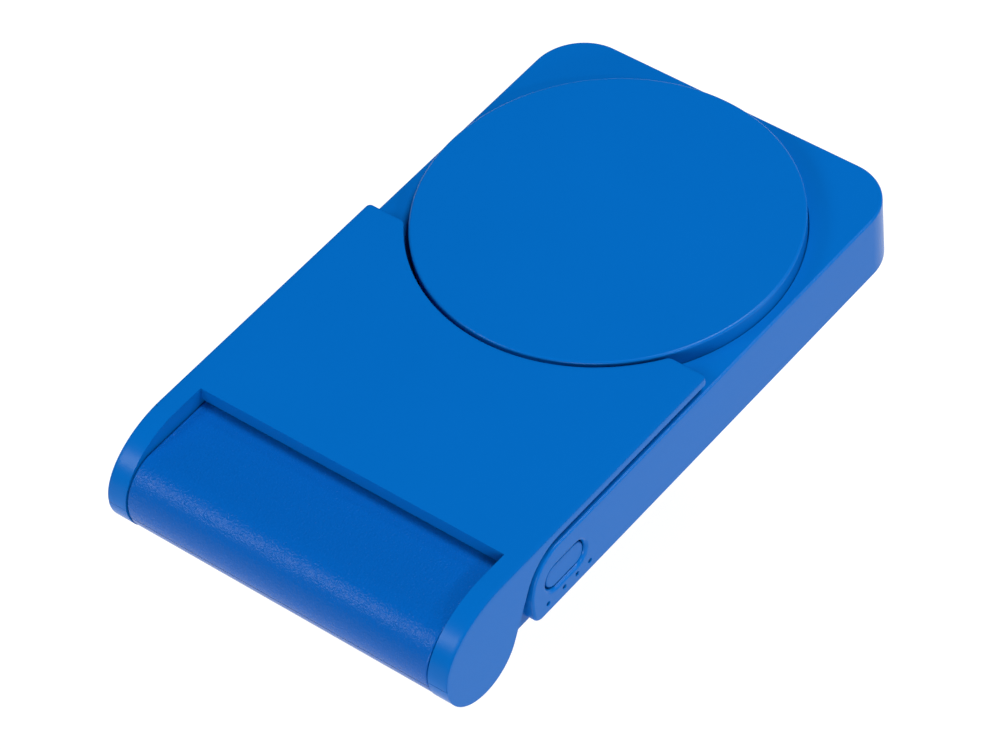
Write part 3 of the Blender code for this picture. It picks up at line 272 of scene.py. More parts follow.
def rod(name: str, centre: Sequence[float], radius: float, length: float, along: str = "X",
        steps: int = 64) -> bpy.types.Object:
    """A round bar centred on a point, along X or Z."""
    bm = bmesh.new()
    turn = Matrix.Rotation(math.radians(90), 4, "Y") if along == "X" else Matrix.Identity(4)
    bmesh.ops.create_cone(bm, cap_ends=True, segments=steps, radius1=radius, radius2=radius,
                          depth=length, matrix=Matrix.Translation(centre) @ turn)
    return to_object(name, bm)


class Join(Enum):
    """How two solids are combined."""

    ADD = "UNION"
    CUT = "DIFFERENCE"
    KEEP = "INTERSECT"


def combine(item: bpy.types.Object, how: Join, *others: bpy.types.Object) -> bpy.types.Object:
    """Combine an object with others, one after the other, and remove the others.

    Args:
        item: The object that is changed.
        how: Whether the others are added, cut away or kept in common.
        others: The tools, which are used up.

    Returns:
        The changed object.
    """
    for other in others:
        step = item.modifiers.new("combine", "BOOLEAN")
        step.operation = how.value
        step.solver = "EXACT"
        step.object = other
        settle(item)
        used = other.data
        bpy.data.objects.remove(other, do_unlink=True)
        bpy.data.meshes.remove(used)
    return item


def round_edges(item: bpy.types.Object, width: float, share: Callable[[bmesh.types.BMEdge], float],
                segments: int = 5) -> bpy.types.Object:
    """Round the edges that a rule picks.

    Args:
        item: The object that is changed.
        width: The widest rounding.
        share: Gives each edge its share of that width, from none to one.
        segments: Straight pieces across a rounding.

    Returns:
        The changed object.
    """
    bm = bmesh.new()
    bm.from_mesh(item.data)
    weight = bm.edges.layers.float.new("bevel_weight_edge")
    for edge in bm.edges:
        if len(edge.link_faces) == 2:
            edge[weight] = share(edge)
    bm.to_mesh(item.data)
    bm.free()
    bevel = item.modifiers.new("round", "BEVEL")
    bevel.limit_method = "WEIGHT"
    bevel.width = width
    bevel.segments = segments
    bevel.use_clamp_overlap = False
    return settle(item)


def sharper_than(degrees: float) -> Callable[[bmesh.types.BMEdge], float]:
    """A rule that picks every edge that turns by more than an angle."""
    return lambda edge: 1.0 if edge.calc_face_angle(0.0) > math.radians(degrees) else 0.0


# ---------------------------------------------------------------- finishes
@dataclass(frozen=True)
class Finish:
    """What every finish has: a name, a colour and a roughness."""

    name: str
    colour: str
    roughness: float

    def start(self, **sockets: float) -> tuple[bpy.types.NodeTree, bpy.types.Node, bpy.types.Material]:
        """Open a material with its shader's constants set.

        Args:
            sockets: Extra shader sockets by name, with spaces as underscores.

        Returns:
            The node tree, the shader and the material.
        """
        material = bpy.data.materials.new(self.name)
        material.use_nodes = True
        material.diffuse_color = linear(self.colour)
        tree = material.node_tree
        shader = tree.nodes["Principled BSDF"]
        shader.inputs["Base Color"].default_value = linear(self.colour)
        shader.inputs["Roughness"].default_value = self.roughness
        for name, value in sockets.items():
            shader.inputs[name.replace("_", " ")].default_value = value
        return tree, shader, material

    def noise(self, tree: bpy.types.NodeTree, size: float, detail: float = 2.0,
              stretch: tuple[float, float, float] = (1.0, 1.0, 1.0)) -> bpy.types.NodeSocket:
        """A noise whose lumps are that size in metres, stretched along an axis if asked."""
        place = add_node(tree, "ShaderNodeTexCoord").outputs["Object"]
        mapped = add_node(tree, "ShaderNodeMapping", {"Scale": stretch}, {"Vector": place})
        made = add_node(tree, "ShaderNodeTexNoise", {"Scale": 1 / size, "Detail": detail},
                        {"Vector": mapped.outputs["Vector"]})
        return made.outputs["Fac"]

    def vary(self, tree: bpy.types.NodeTree, shader: bpy.types.Node, source: bpy.types.NodeSocket,
             roughness: float, shade: float) -> None:
        """Let a pattern move the roughness and the lightness of the colour a little.

        Args:
            tree: The node tree.
            shader: The shader node.
            source: The pattern, from nought to one.
            roughness: How far the roughness goes either way.
            shade: How far the colour goes darker or lighter, as a share.
        """
        rough = add_node(tree, "ShaderNodeMapRange",
                         {"To Min": self.roughness - roughness, "To Max": self.roughness + roughness},
                         {"Value": source})
        tree.links.new(rough.outputs["Result"], shader.inputs["Roughness"])
        light = add_node(tree, "ShaderNodeMapRange", {"To Min": 1 - shade, "To Max": 1 + shade},
                         {"Value": source})
        tint = add_node(tree, "ShaderNodeHueSaturation", {"Color": linear(self.colour)},
                        {"Value": light.outputs["Result"]})
        tree.links.new(tint.outputs["Color"], shader.inputs["Base Color"])

    def bump(self, tree: bpy.types.NodeTree, shader: bpy.types.Node, source: bpy.types.NodeSocket,
             depth: float, strength: float = 1.0) -> None:
        """Raise the surface by a pattern, with the depth in metres."""
        node = add_node(tree, "ShaderNodeBump", {"Distance": depth, "Strength": strength}, {"Height": source})
        tree.links.new(node.outputs["Normal"], shader.inputs["Normal"])


@dataclass(frozen=True)
class MouldedPolycarbonate(Finish):
    """Polycarbonate blend, injection moulded in a fine spark-eroded tool.

    The tool's grain leaves an even satin: soft wide highlights, no mirror image, and a light edge
    wherever a rounding turns towards a lamp. The reflection is set weaker than bare polycarbonate's.
    """

    grain: float = 0.10 * MM
    depth: float = 0.0006 * MM
    drift: float = 18.0 * MM
    index: float = 1.47
    reflection: float = 0.11

    def make(self) -> bpy.types.Material:
        """Build the plastic."""
        tree, shader, material = self.start(IOR=self.index, Specular_IOR_Level=self.reflection)
        self.vary(tree, shader, self.noise(tree, self.drift, 3.0), 0.02, 0.02)
        self.bump(tree, shader, self.noise(tree, self.grain, 1.0), self.depth)
        return material


@dataclass(frozen=True)
class SparkErodedPolycarbonate(Finish):
    """The same plastic from a coarser spark-eroded cavity. Where it is used its colour is set darker than the
    case's, as painted shade.

    Its pits break the highlight up into sparkle. They are drawn coarse and deep enough to show at the
    camera's distance; a real tool's pits would be finer.
    """

    pit: float = 0.33 * MM
    depth: float = 0.05 * MM
    softness: float = 0.6
    fine_share: float = 0.8
    index: float = 1.47
    reflection: float = 0.13

    def make(self) -> bpy.types.Material:
        """Build the plastic."""
        tree, shader, material = self.start(IOR=self.index, Specular_IOR_Level=self.reflection)
        place = add_node(tree, "ShaderNodeTexCoord").outputs["Object"]
        cells = add_node(tree, "ShaderNodeTexVoronoi", {"Scale": 1 / self.pit, "feature": "SMOOTH_F1",
                                                        "Smoothness": self.softness}, {"Vector": place})
        grain = self.noise(tree, self.pit * self.fine_share, 2.0)
        both = add_node(tree, "ShaderNodeMath", {"operation": "ADD"},
                        {0: cells.outputs["Distance"], 1: grain})
        self.vary(tree, shader, grain, 0.05, 0.05)
        self.bump(tree, shader, both.outputs["Value"], self.depth)
        return material


class Grain(Enum):
    """How a metal surface was made, as the stretch of its marks along x, y and z."""

    ROLLED = (0.08, 1.0, 1.0)
    TURNED = (1.0, 0.1, 0.1)
    SINTERED = (1.0, 1.0, 1.0)
    DRAWN = (0.5, 0.5, 1.0)


@dataclass(frozen=True)
class Metal(Finish):
    """A metal with the marks of its making.

    Rolled sheet shows fine lines one way, a turned part rings, and a plated sinter an even tooth.
    """

    grain: Grain = Grain.ROLLED
    mark: float = 0.12 * MM
    depth: float = 0.0015 * MM

    def make(self) -> bpy.types.Material:
        """Build the metal."""
        tree, shader, material = self.start(Metallic=1.0)
        lines = self.noise(tree, self.mark, 4.0, self.grain.value)
        self.vary(tree, shader, lines, 0.08, 0.06)
        self.bump(tree, shader, lines, self.depth)
        return material


@dataclass(frozen=True)
class EnamelledCopper(Finish):
    """Copper wire with a baked enamel: metal colour under a thin clear coat."""

    mark: float = 0.3 * MM

    def make(self) -> bpy.types.Material:
        """Build the wire's finish."""
        tree, shader, material = self.start(Metallic=1.0, Coat_Weight=0.7, Coat_Roughness=0.12)
        self.vary(tree, shader, self.noise(tree, self.mark), 0.05, 0.08)
        return material


@dataclass(frozen=True)
class MouldedCompound(Finish):
    """A small moulded part such as a chip body, a switch or a bush.

    Fine grain from the tool keeps its highlight dull and even.
    """

    grain: float = 0.08 * MM
    depth: float = 0.002 * MM

    def make(self) -> bpy.types.Material:
        """Build the compound."""
        tree, shader, material = self.start(IOR=1.5)
        specks = self.noise(tree, self.grain, 2.0)
        self.vary(tree, shader, specks, 0.05, 0.06)
        self.bump(tree, shader, specks, self.depth)
        return material


@dataclass(frozen=True)
class SolderMask(Finish):
    """Green lacquer over woven glass: the cloth shows as faint squares under a gloss."""

    thread: float = 0.45 * MM
    depth: float = 0.002 * MM

    def make(self) -> bpy.types.Material:
        """Build the board's lacquer."""
        tree, shader, material = self.start(IOR=1.52, Coat_Weight=0.4, Coat_Roughness=0.15)
        place = add_node(tree, "ShaderNodeTexCoord").outputs["Object"]
        waves = [add_node(tree, "ShaderNodeTexWave", {"Scale": 1 / (self.thread * math.tau),
                                                      "bands_direction": way}, {"Vector": place})
                 for way in ("X", "Y")]
        weave = add_node(tree, "ShaderNodeMath", {"operation": "MULTIPLY"},
                         {0: waves[0].outputs["Fac"], 1: waves[1].outputs["Fac"]})
        self.vary(tree, shader, weave.outputs["Value"], 0.04, 0.12)
        self.bump(tree, shader, weave.outputs["Value"], self.depth)
        return material


@dataclass(frozen=True)
class OpenFoam(Finish):
    """Cut polyurethane foam: open cells that hold shadow, with no highlight."""

    cell: float = 0.5 * MM
    depth: float = 0.15 * MM

    def make(self) -> bpy.types.Material:
        """Build the foam."""
        tree, shader, material = self.start(IOR=1.45)
        place = add_node(tree, "ShaderNodeTexCoord").outputs["Object"]
        cells = add_node(tree, "ShaderNodeTexVoronoi", {"Scale": 1 / self.cell}, {"Vector": place})
        self.vary(tree, shader, cells.outputs["Distance"], 0.03, 0.5)
        self.bump(tree, shader, cells.outputs["Distance"], self.depth)
        return material


@dataclass(frozen=True)
class LaminatedFoil(Finish):
    """Aluminium foil laminated with nylon: a silky metal with soft creases."""

    crease: float = 6.0 * MM
    depth: float = 0.05 * MM

    def make(self) -> bpy.types.Material:
        """Build the foil."""
        tree, shader, material = self.start(Metallic=0.85, Coat_Weight=0.3, Coat_Roughness=0.3)
        folds = self.noise(tree, self.crease, 5.0)
        self.vary(tree, shader, folds, 0.06, 0.04)
        self.bump(tree, shader, folds, self.depth)
        return material


@dataclass(frozen=True)
class ClearMoulding(Finish):
    """Clear polycarbonate or silicone: light passes, with a little haze inside."""

    clarity: float = 0.9
    haze: float = 1.5 * MM

    def make(self) -> bpy.types.Material:
        """Build the clear plastic."""
        tree, shader, material = self.start(IOR=1.585, Transmission_Weight=self.clarity)
        self.vary(tree, shader, self.noise(tree, self.haze), 0.04, 0.03)
        return material


@dataclass(frozen=True)
class LitAcrylic(Finish):
    """The matt sheet of a light table: lamps light it from above and it glows from below."""

    glow: float = 0.4
    drift: float = 80.0 * MM

    def make(self) -> bpy.types.Material:
        """Build the sheet."""
        tree, shader, material = self.start(IOR=1.49, Emission_Strength=self.glow)
        shader.inputs["Emission Color"].default_value = (1.0, 1.0, 1.0, 1.0)
        self.vary(tree, shader, self.noise(tree, self.drift), 0.02, 0.01)
        return material


SHELL_COLOUR = "#015EAE"
SHELL_SATIN = MouldedPolycarbonate("polycarbonate_satin", SHELL_COLOUR, 0.26)
SHELL_DISC = MouldedPolycarbonate("polycarbonate_satin_disc", SHELL_COLOUR, 0.26)
SHELL_BUTTON = MouldedPolycarbonate("polycarbonate_satin_button", SHELL_COLOUR, 0.32)
# Painted shade: the barrel's colour is set darker than the case's for the shade of the flap's window over the
# recessed barrel; its spark-eroded grain is real.
SHELL_SPARKED_PAINTED_SHADE = SparkErodedPolycarbonate("polycarbonate_spark_eroded", "#0153A5", 0.26)
BLACK_COMPOUND = MouldedCompound("moulded_compound_black", "#17181A", 0.42)
WHITE_ACETAL = MouldedCompound("moulded_acetal_white", "#E4E4DF", 0.38)
STAMPED_STEEL = Metal("stamped_stainless_steel", "#C3C4C6", 0.30)
TURNED_STEEL = Metal("turned_steel", "#B4B5B8", 0.26, Grain.TURNED)
PLATED_MAGNET = Metal("nickel_plated_magnet", "#B9B8B2", 0.22, Grain.SINTERED, 0.25 * MM)
NICKEL_STRIP = Metal("rolled_nickel_strip", "#C6C1B6", 0.28)
ALUMINIUM_SHEET = Metal("rolled_aluminium_sheet", "#D3D5D8", 0.32)
GOLD_FLASH = Metal("gold_flashed_contact", "#D9B25A", 0.24, Grain.DRAWN)
COPPER_WIRE = EnamelledCopper("enamelled_copper_wire", "#B8683A", 0.30)
SINTERED_FERRITE = MouldedCompound("sintered_ferrite", "#2C2C2F", 0.62, 0.15 * MM, 0.006 * MM)
POUCH_FOIL = LaminatedFoil("laminated_pouch_foil", "#B9BCC0", 0.36)
CUT_FOAM = OpenFoam("cut_foam", "#232426", 0.92)
BOARD_LACQUER = SolderMask("solder_mask_on_glass_cloth", "#0D4A2C", 0.34)
RED_INSULATION = MouldedCompound("extruded_pvc_red", "#B01214", 0.36)
LED_SILICONE = ClearMoulding("led_phosphor_silicone", "#EFE3A0", 0.30, 0.15)
CLEAR_GUIDE = ClearMoulding("clear_polycarbonate_guide", "#DCE6F2", 0.12)

made_materials: dict[str, bpy.types.Material] = {}


def material_of(finish: Finish) -> bpy.types.Material:
    """The finish's material, made once."""
    if finish.name not in made_materials:
        made_materials[finish.name] = finish.make()
    return made_materials[finish.name]


def shade(item: bpy.types.Object) -> None:
    """Shade the roundings smooth and keep flat faces flat."""
    item.data.shade_smooth()
    item.data.set_sharp_from_angle(angle=math.radians(SHARP_DEG))
    normals = item.modifiers.new("flat_faces", "WEIGHTED_NORMAL")
    normals.keep_sharp = True
    normals.weight = 100


def hand_over(item: bpy.types.Object, body: str, finishes: Sequence[Finish],
              nodes: Sequence[str] = ()) -> bpy.types.Object:
    """Dress a finished piece and let it ride on its body.

    Args:
        item: The piece.
        body: The frame's body that carries it.
        finishes: The finishes in the order of the mesh's material slots.
        nodes: The frame's nodes that it stands for.

    Returns:
        The piece.
    """
    item.data.materials.clear()
    for finish in finishes:
        item.data.materials.append(material_of(finish))
    shade(item)
    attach(item, body)
    if nodes:
        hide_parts(*nodes)
    LOG.info("%s: %d faces on %s", item.name, len(item.data.polygons), body)
    return item


# ---------------------------------------------------------------- shared sizes
@dataclass(frozen=True)
class HingeLine:
    """The hinge's axis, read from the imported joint."""

    y: float
    z: float

    @classmethod
    def read(cls) -> "HingeLine":
        """Find the flap's joint in the frame."""
        joint = next(joint for joint in frame["joints"] if joint["name"] == "flap_hinge")
        return cls(joint["pos_m"][1], joint["pos_m"][2])

    @property
    def centre(self) -> Point:
        """The axis seen from the side."""
        return (self.y, self.z)


def disc_axis() -> Point:
    """Where the charging disc's axis stands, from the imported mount."""
    mount = next(mount for mount in frame["record"]["mounts"] if mount["name"] == "charging_face")
    return (mount["pos_m"][0], mount["pos_m"][1])


HINGE = HingeLine.read()
DISC_AXIS = disc_axis()
CASE_LOW, CASE_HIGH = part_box("top_housing")
DISC_LOW, DISC_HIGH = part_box("charging_disc_cap")
_, FLAP_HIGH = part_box("flap_cover")
LINER_LOW, LINER_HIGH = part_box("flap_inner_cover")
BUTTON_LOW, BUTTON_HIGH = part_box("power_button")
SOCKET_LOW, SOCKET_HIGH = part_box("usb_c_socket")


# ---------------------------------------------------------------- case
@dataclass
class Case:
    """The power bank's body: housing with the barrel's upper half, bottom cover and light guide."""

    top: float = 14.75 * MM
    bottom: float = CASE_LOW.z
    corner: float = 8.6 * MM
    edge: float = 0.4 * MM
    wall: float = 1.5 * MM
    top_skin: float = 1.4 * MM
    bottom_skin: float = 1.1 * MM
    end_arc: Point = (-29.2 * MM, 7.6 * MM)
    end_foot: float = 1.8 * MM
    barrel_radius: float = 7.9 * MM
    barrel_half: float = 28.1 * MM
    barrel_edge: float = 0.3 * MM
    barrel_wall: float = 1.3 * MM
    flat_y: float = -49.3 * MM
    seam: float = 0.14 * MM
    seam_z: float = 6.4 * MM
    seam_y: float = -41.0 * MM
    cheek_half: float = 30.15 * MM
    cheek_y: float = -38.1 * MM
    step: float = 0.02 * MM
    root_y: float = -28.0 * MM
    bush_radius: float = 3.55 * MM
    boss_radius: float = 2.2 * MM
    pilot_radius: float = 1.1 * MM
    pilot_skin: float = 0.1 * MM
    cover_edge: float = 0.15 * MM
    half: float = CASE_HIGH.x
    far: float = CASE_HIGH.y

    def plan(self, inset: float, near: float) -> Outline:
        """The case seen from above: square near end, two round far corners."""
        side = self.half - inset
        far = self.far - inset
        radius = self.corner - inset
        right = arc((side - radius, far - radius), radius, 0, 90, 28)
        left = [(-x, y) for x, y in reversed(right)]
        return [(-side, near), (side, near)] + right + left

    def near_end(self, top: float, bottom: float) -> Outline:
        """The near end from the side: round above, upright below, with a small round foot."""
        radius = top - self.end_arc[1]
        foot = (self.end_arc[0] - radius + self.end_foot, bottom + self.end_foot)
        return arc(self.end_arc, radius, 90, 180, 36) + arc(foot, self.end_foot, 180, 270, 10)

    def slab(self, name: str, inset: float, top: float, low: float) -> bpy.types.Object:
        """Where the plan and the side outline overlap.

        Args:
            name: The object's name.
            inset: How far inside the outer shape it stays.
            top: Its upper face.
            low: How far down its straight sides go.

        Returns:
            The solid slab.
        """
        near_end = self.near_end(top, self.bottom)
        foot = [(near_end[-1][0], low)] if low < self.bottom else []
        past = self.far + 10 * PAST
        outline = [(past, top)] + near_end + foot + [(past, low)]
        side_view = prism(name + "_side", outline, -BESIDE, BESIDE, Plane.SIDE)
        block = prism(name, self.plan(inset, HINGE.y + 4 * PAST), -10 * PAST, 30 * PAST)
        return combine(block, Join.KEEP, side_view)

    def barrel_profile(self, inset: float, neck_y: float, neck_low: float) -> Outline:
        """The barrel and its flat-topped neck from the side.

        The upper front is a smaller arc that meets the flat and the barrel's circle.
        """
        lead = self.flat_y - HINGE.y
        drop = self.top - HINGE.z
        blend = (self.barrel_radius ** 2 - lead ** 2 - drop ** 2) / (2 * (self.barrel_radius - drop))
        middle = (self.flat_y, self.top - blend)
        meet = math.degrees(math.atan2(middle[1] - HINGE.z, lead))
        radius = self.barrel_radius - inset
        low = neck_low + inset
        leave = 360.0 + math.degrees(math.asin((low - HINGE.z) / radius))
        upper = arc(middle, blend - inset, 90, meet, 36)
        lower = arc(HINGE.centre, radius, meet, leave, 64)
        return [(neck_y, self.top - inset)] + upper + lower[1:] + [(neck_y, low)]

    def barrel(self, name: str, neck_y: float, tuck: bool) -> bpy.types.Object:
        """The full barrel with rounded end edges.

        Args:
            name: The object's name.
            neck_y: How far back the neck goes.
            tuck: True if the neck's root dips below the case's top, so that the two faces join cleanly.

        Returns:
            The solid barrel.
        """
        def drawn(inset: float) -> Outline:
            """The profile at an inset, with the neck's root tucked in."""
            outline = self.barrel_profile(inset, neck_y, self.bottom + 2 * self.step)
            root = [(neck_y, self.top - PAST - inset), (self.end_arc[0] - self.edge, self.top - inset)]
            return root + outline[1:] if tuck else outline

        return rounded(name, drawn, -self.barrel_half, self.barrel_half, Plane.SIDE,
                       self.barrel_edge, self.barrel_edge)

    def cheek_outline(self) -> Outline:
        """The narrower root of the case's end, which fills in beside the neck."""
        low = self.bottom + self.step
        inner = [(-32.4 * MM, 14.1 * MM), (-34.9 * MM, 12.4 * MM), (-36.9 * MM, 9.6 * MM)]
        back = [(self.cheek_y, low), (self.end_arc[0], low), (self.end_arc[0], self.top - 0.3 * MM)]
        return back + inner + [(self.cheek_y, 7.0 * MM)]

    def rooms(self) -> list[bpy.types.Object]:
        """What is hollow: the case's room, the neck's and barrel's, and the barrel's lower half."""
        floor = -4 * PAST
        neck_far = self.root_y + 3 * PAST
        room = self.slab("case_room", self.wall, self.top - self.top_skin, floor)
        inside = self.barrel_profile(self.barrel_wall, neck_far, self.bottom)
        upper = [place for place in inside[:-1] if place[0] < HINGE.y or place[1] > HINGE.z]
        half = self.barrel_half - self.barrel_wall
        neck = prism("neck_room", upper + [(HINGE.y + PAST, floor), (neck_far, floor)], -half, half,
                     Plane.SIDE)
        gap = self.seam / 2
        lower = box("barrel_lower", (-BESIDE, AHEAD, BENEATH), (BESIDE, self.seam_y + gap, self.seam_z + gap))
        return [room, neck, lower]

    def openings(self, button: "PowerButton", socket: "ChargingSocket", lights: "StatusLights",
                 disc: "ChargingDisc") -> list[bpy.types.Object]:
        """The holes through the housing, each with a soft outer edge except the bush's hole."""
        bush = rod("bush_hole", (0, *HINGE.centre), self.bush_radius, 2 * BESIDE)
        return [*disc.seat_cutters(self.top), *button.cutters(self.half), *socket.cutters(-self.half),
                *lights.cutters(self.half), bush]

    def bosses(self) -> list[bpy.types.Object]:
        """Four blind screw posts that hang from the top skin over the screws."""
        made = []
        for kind, seat in (("board_screw", 2.6 * MM), ("bracket_screw", 2.3 * MM)):
            for side in ("left", "right"):
                low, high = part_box(f"{kind}_{side}")
                centre = (low + high) / 2
                start = low.z + seat
                top = self.top - self.top_skin / 2
                post = rod(f"{kind}_{side}_boss", (centre.x, centre.y, (start + top) / 2), self.boss_radius,
                           top - start, "Z", 40)
                start -= PAST
                top = self.top - self.top_skin - self.pilot_skin
                hole = rod(f"{kind}_{side}_pilot", (centre.x, centre.y, (start + top) / 2), self.pilot_radius,
                           top - start, "Z", 32)
                made.append(combine(post, Join.CUT, hole))
        return made

    def build_housing(self, button: "PowerButton", socket: "ChargingSocket", lights: "StatusLights",
                      disc: "ChargingDisc") -> bpy.types.Object:
        """The upper shell: satin case, spark-eroded barrel whose darker colour is painted shade."""
        shell = self.slab("housing_shell", 0.0, self.top, self.bottom)
        round_edges(shell, self.edge, sharper_than(CORNER_DEG))
        cheeks = prism("cheeks", self.cheek_outline(), -self.cheek_half, self.cheek_half, Plane.SIDE)
        combine(shell, Join.ADD, cheeks, self.barrel("upper_barrel", self.root_y, True))
        combine(shell, Join.CUT, *self.rooms(), *self.openings(button, socket, lights, disc))
        combine(shell, Join.ADD, *self.bosses())
        hand_over(shell, "housing", (SHELL_SATIN, SHELL_SPARKED_PAINTED_SHADE), ["top_housing"])
        self.texture_barrel(shell)
        return shell

    def texture_barrel(self, shell: bpy.types.Object) -> None:
        """Give the barrel's and neck's outer faces the second finish: spark-eroded grain, in a darker colour that
        is painted shade from the flap's window.
        """
        root = self.end_arc[0] - self.edge
        for face in shell.data.polygons:
            inside = abs(face.center.x) <= self.barrel_half + SKIN and face.center.y < root - PAST
            face.material_index = 1 if inside else 0

    def build_cover(self) -> bpy.types.Object:
        """The bottom cover: a flat plate, a tongue under the neck and the barrel's lower half."""
        inset = self.wall + self.seam
        high = self.bottom + self.bottom_skin
        near = self.near_end(self.top - inset, self.bottom)[-1][0]
        plate = rounded("bottom_shell", lambda more: self.plan(inset + more, near + more),
                        self.bottom, high, Plane.LEVEL, self.cover_edge)
        half = self.barrel_half - self.barrel_wall
        tongue = box("cover_tongue", (self.seam - half, HINGE.y + 3 * PAST, self.bottom + self.step),
                     (half - self.seam, near + PAST, high - self.step))
        barrel = self.barrel("lower_barrel", self.seam_y + 3 * PAST, False)
        gap = self.seam / 2
        upper = box("barrel_upper", (-BESIDE, AHEAD, self.seam_z - gap), (BESIDE, self.root_y, ABOVE))
        behind = box("barrel_behind", (-BESIDE, self.seam_y - gap, BENEATH),
                     (BESIDE, self.root_y - PAST, ABOVE - PAST))
        combine(barrel, Join.CUT, upper, behind)
        combine(tongue, Join.ADD, barrel)
        bore = rod("barrel_bore", (0, *HINGE.centre), self.barrel_radius - self.barrel_wall, 2 * half,
                   steps=128)
        combine(tongue, Join.CUT, bore)
        combine(plate, Join.ADD, tongue)
        combine(plate, Join.CUT, rod("lower_bush_hole", (0, *HINGE.centre), self.bush_radius, 2 * BESIDE))
        # The barrel's faces take the spark-eroded finish, whose darker colour is painted shade.
        hand_over(plate, "housing", (SHELL_SATIN, SHELL_SPARKED_PAINTED_SHADE), ["bottom_cover"])
        self.texture_barrel(plate)
        return plate


# ---------------------------------------------------------------- charging disc
@dataclass
class ChargingDisc:
    """The raised round cap over the charging coil."""

    rim: float = 0.45 * MM
    gap: float = 0.12 * MM
    rebate: float = 0.6 * MM
    seat_round: float = 0.12 * MM
    opening: float = 27.5 * MM
    skin: float = 1.2 * MM
    wall: float = 1.5 * MM
    radius: float = DISC_HIGH.x
    top: float = DISC_HIGH.z
    low: float = DISC_LOW.z

    def seat_cutters(self, case_top: float) -> list[bpy.types.Object]:
        """The rebate that the cap stands in, with a soft upper edge, and the opening under it."""
        side = self.radius + self.gap
        floor = case_top - self.rebate
        flare = arc((side + self.seat_round, case_top - self.seat_round + SKIN), self.seat_round, 180, 90, 6)
        past = case_top + 3 * PAST
        profile = [(0.0, past), (flare[-1][0], past)] + list(reversed(flare)) + [(side, floor), (0.0, floor)]
        return [turned("disc_seat", profile, DISC_AXIS),
                rod("disc_opening", (*DISC_AXIS, case_top), self.opening, 8 * PAST, "Z", 128)]

    def build(self) -> bpy.types.Object:
        """A shallow turned cup, open below, with a rounded rim and a flat face."""
        rim = arc((self.radius - self.rim, self.top - self.rim), self.rim, 90, 0, 10)
        inner = self.radius - self.wall
        ceiling = self.top - self.skin
        foot = [(self.radius, self.low), (inner, self.low), (inner, ceiling), (0.0, ceiling)]
        cap = turned("charging_disc", [(0.0, self.top)] + rim + foot, DISC_AXIS, 288)
        return hand_over(cap, "housing", (SHELL_DISC,), ["charging_disc_cap"])


# ---------------------------------------------------------------- button, lights and socket
@dataclass
class PowerButton:
    """The slot-shaped button, sunk in a dished recess in the case's right side."""

    length: float = 9.2 * MM
    height: float = 4.7 * MM
    gap: float = 0.26 * MM
    dish: float = 0.7 * MM
    crown: float = 0.3 * MM
    recess_floor: float = 29.0 * MM
    flange: float = 0.5 * MM
    flange_rim: Point = (0.6 * MM, 0.4 * MM)
    centre: Point = ((BUTTON_LOW.y + BUTTON_HIGH.y) / 2, (BUTTON_LOW.z + BUTTON_HIGH.z) / 2)
    back: float = BUTTON_LOW.x
    face: float = BUTTON_HIGH.x

    def cutters(self, side: float) -> list[bpy.types.Object]:
        """The recess, dished where it meets the case's side."""
        outline = oval(self.centre, self.length, self.height)
        flare = rounded("button_recess", outline, self.recess_floor, side + SKIN, Plane.SIDE, 0.0, -self.dish)
        mouth = prism("button_mouth", outline(-self.dish), side, side + PAST, Plane.SIDE)
        return [combine(flare, Join.ADD, mouth)]

    def build(self) -> bpy.types.Object:
        """The button with its rounded face and the flange that keeps it in the case."""
        cap = rounded("button_cap", oval(self.centre, self.length - 2 * self.gap, self.height - 2 * self.gap),
                      self.back, self.face, Plane.SIDE, 0.0, self.crown)
        wide = oval(self.centre, self.length + 2 * self.flange_rim[0], self.height + 2 * self.flange_rim[1])
        flange = prism("button_flange", wide(0.0), self.back - SKIN, self.back + self.flange, Plane.SIDE)
        combine(cap, Join.ADD, flange)
        return hand_over(cap, "button", (SHELL_BUTTON,), ["power_button"])


@dataclass
class StatusLights:
    """Four pin-sized windows below the button, lit through one clear guide."""

    places: tuple[float, ...] = (-33.1 * MM, -29.3 * MM, -26.3 * MM, -23.3 * MM)
    z: float = 4.95 * MM
    hole: float = 0.42 * MM
    pin: float = 0.34 * MM
    sunk: float = 0.4 * MM
    soft: float = 0.1 * MM
    hole_depth: float = 2.9 * MM
    bar: float = 1.3 * MM
    dome: float = 0.2 * MM
    lap: float = 0.2 * MM

    def cutters(self, side: float) -> list[bpy.types.Object]:
        """The four holes, each with a soft mouth."""
        made = []
        for index, y in enumerate(self.places):
            outline = oval((y, self.z), 2 * self.hole, 2 * self.hole, 12)
            made.append(rounded(f"light_hole_{index + 1}", outline, side - self.hole_depth, side + SKIN,
                                Plane.SIDE, 0.0, -self.soft, 3))
        return made

    def build(self, side: float) -> bpy.types.Object:
        """The light guide: a bar inside the wall with four domed pins."""
        low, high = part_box("led_light_guide")
        bar = box("light_guide", low, (low.x + self.bar, high.y, high.z))
        for index, y in enumerate(self.places):
            pin = rounded(f"light_pin_{index + 1}", oval((y, self.z), 2 * self.pin, 2 * self.pin, 12),
                          low.x + self.bar - self.lap, side - self.sunk, Plane.SIDE, 0.0, self.dome, 4)
            combine(bar, Join.ADD, pin)
        return hand_over(bar, "housing", (CLEAR_GUIDE,), ["led_light_guide"])


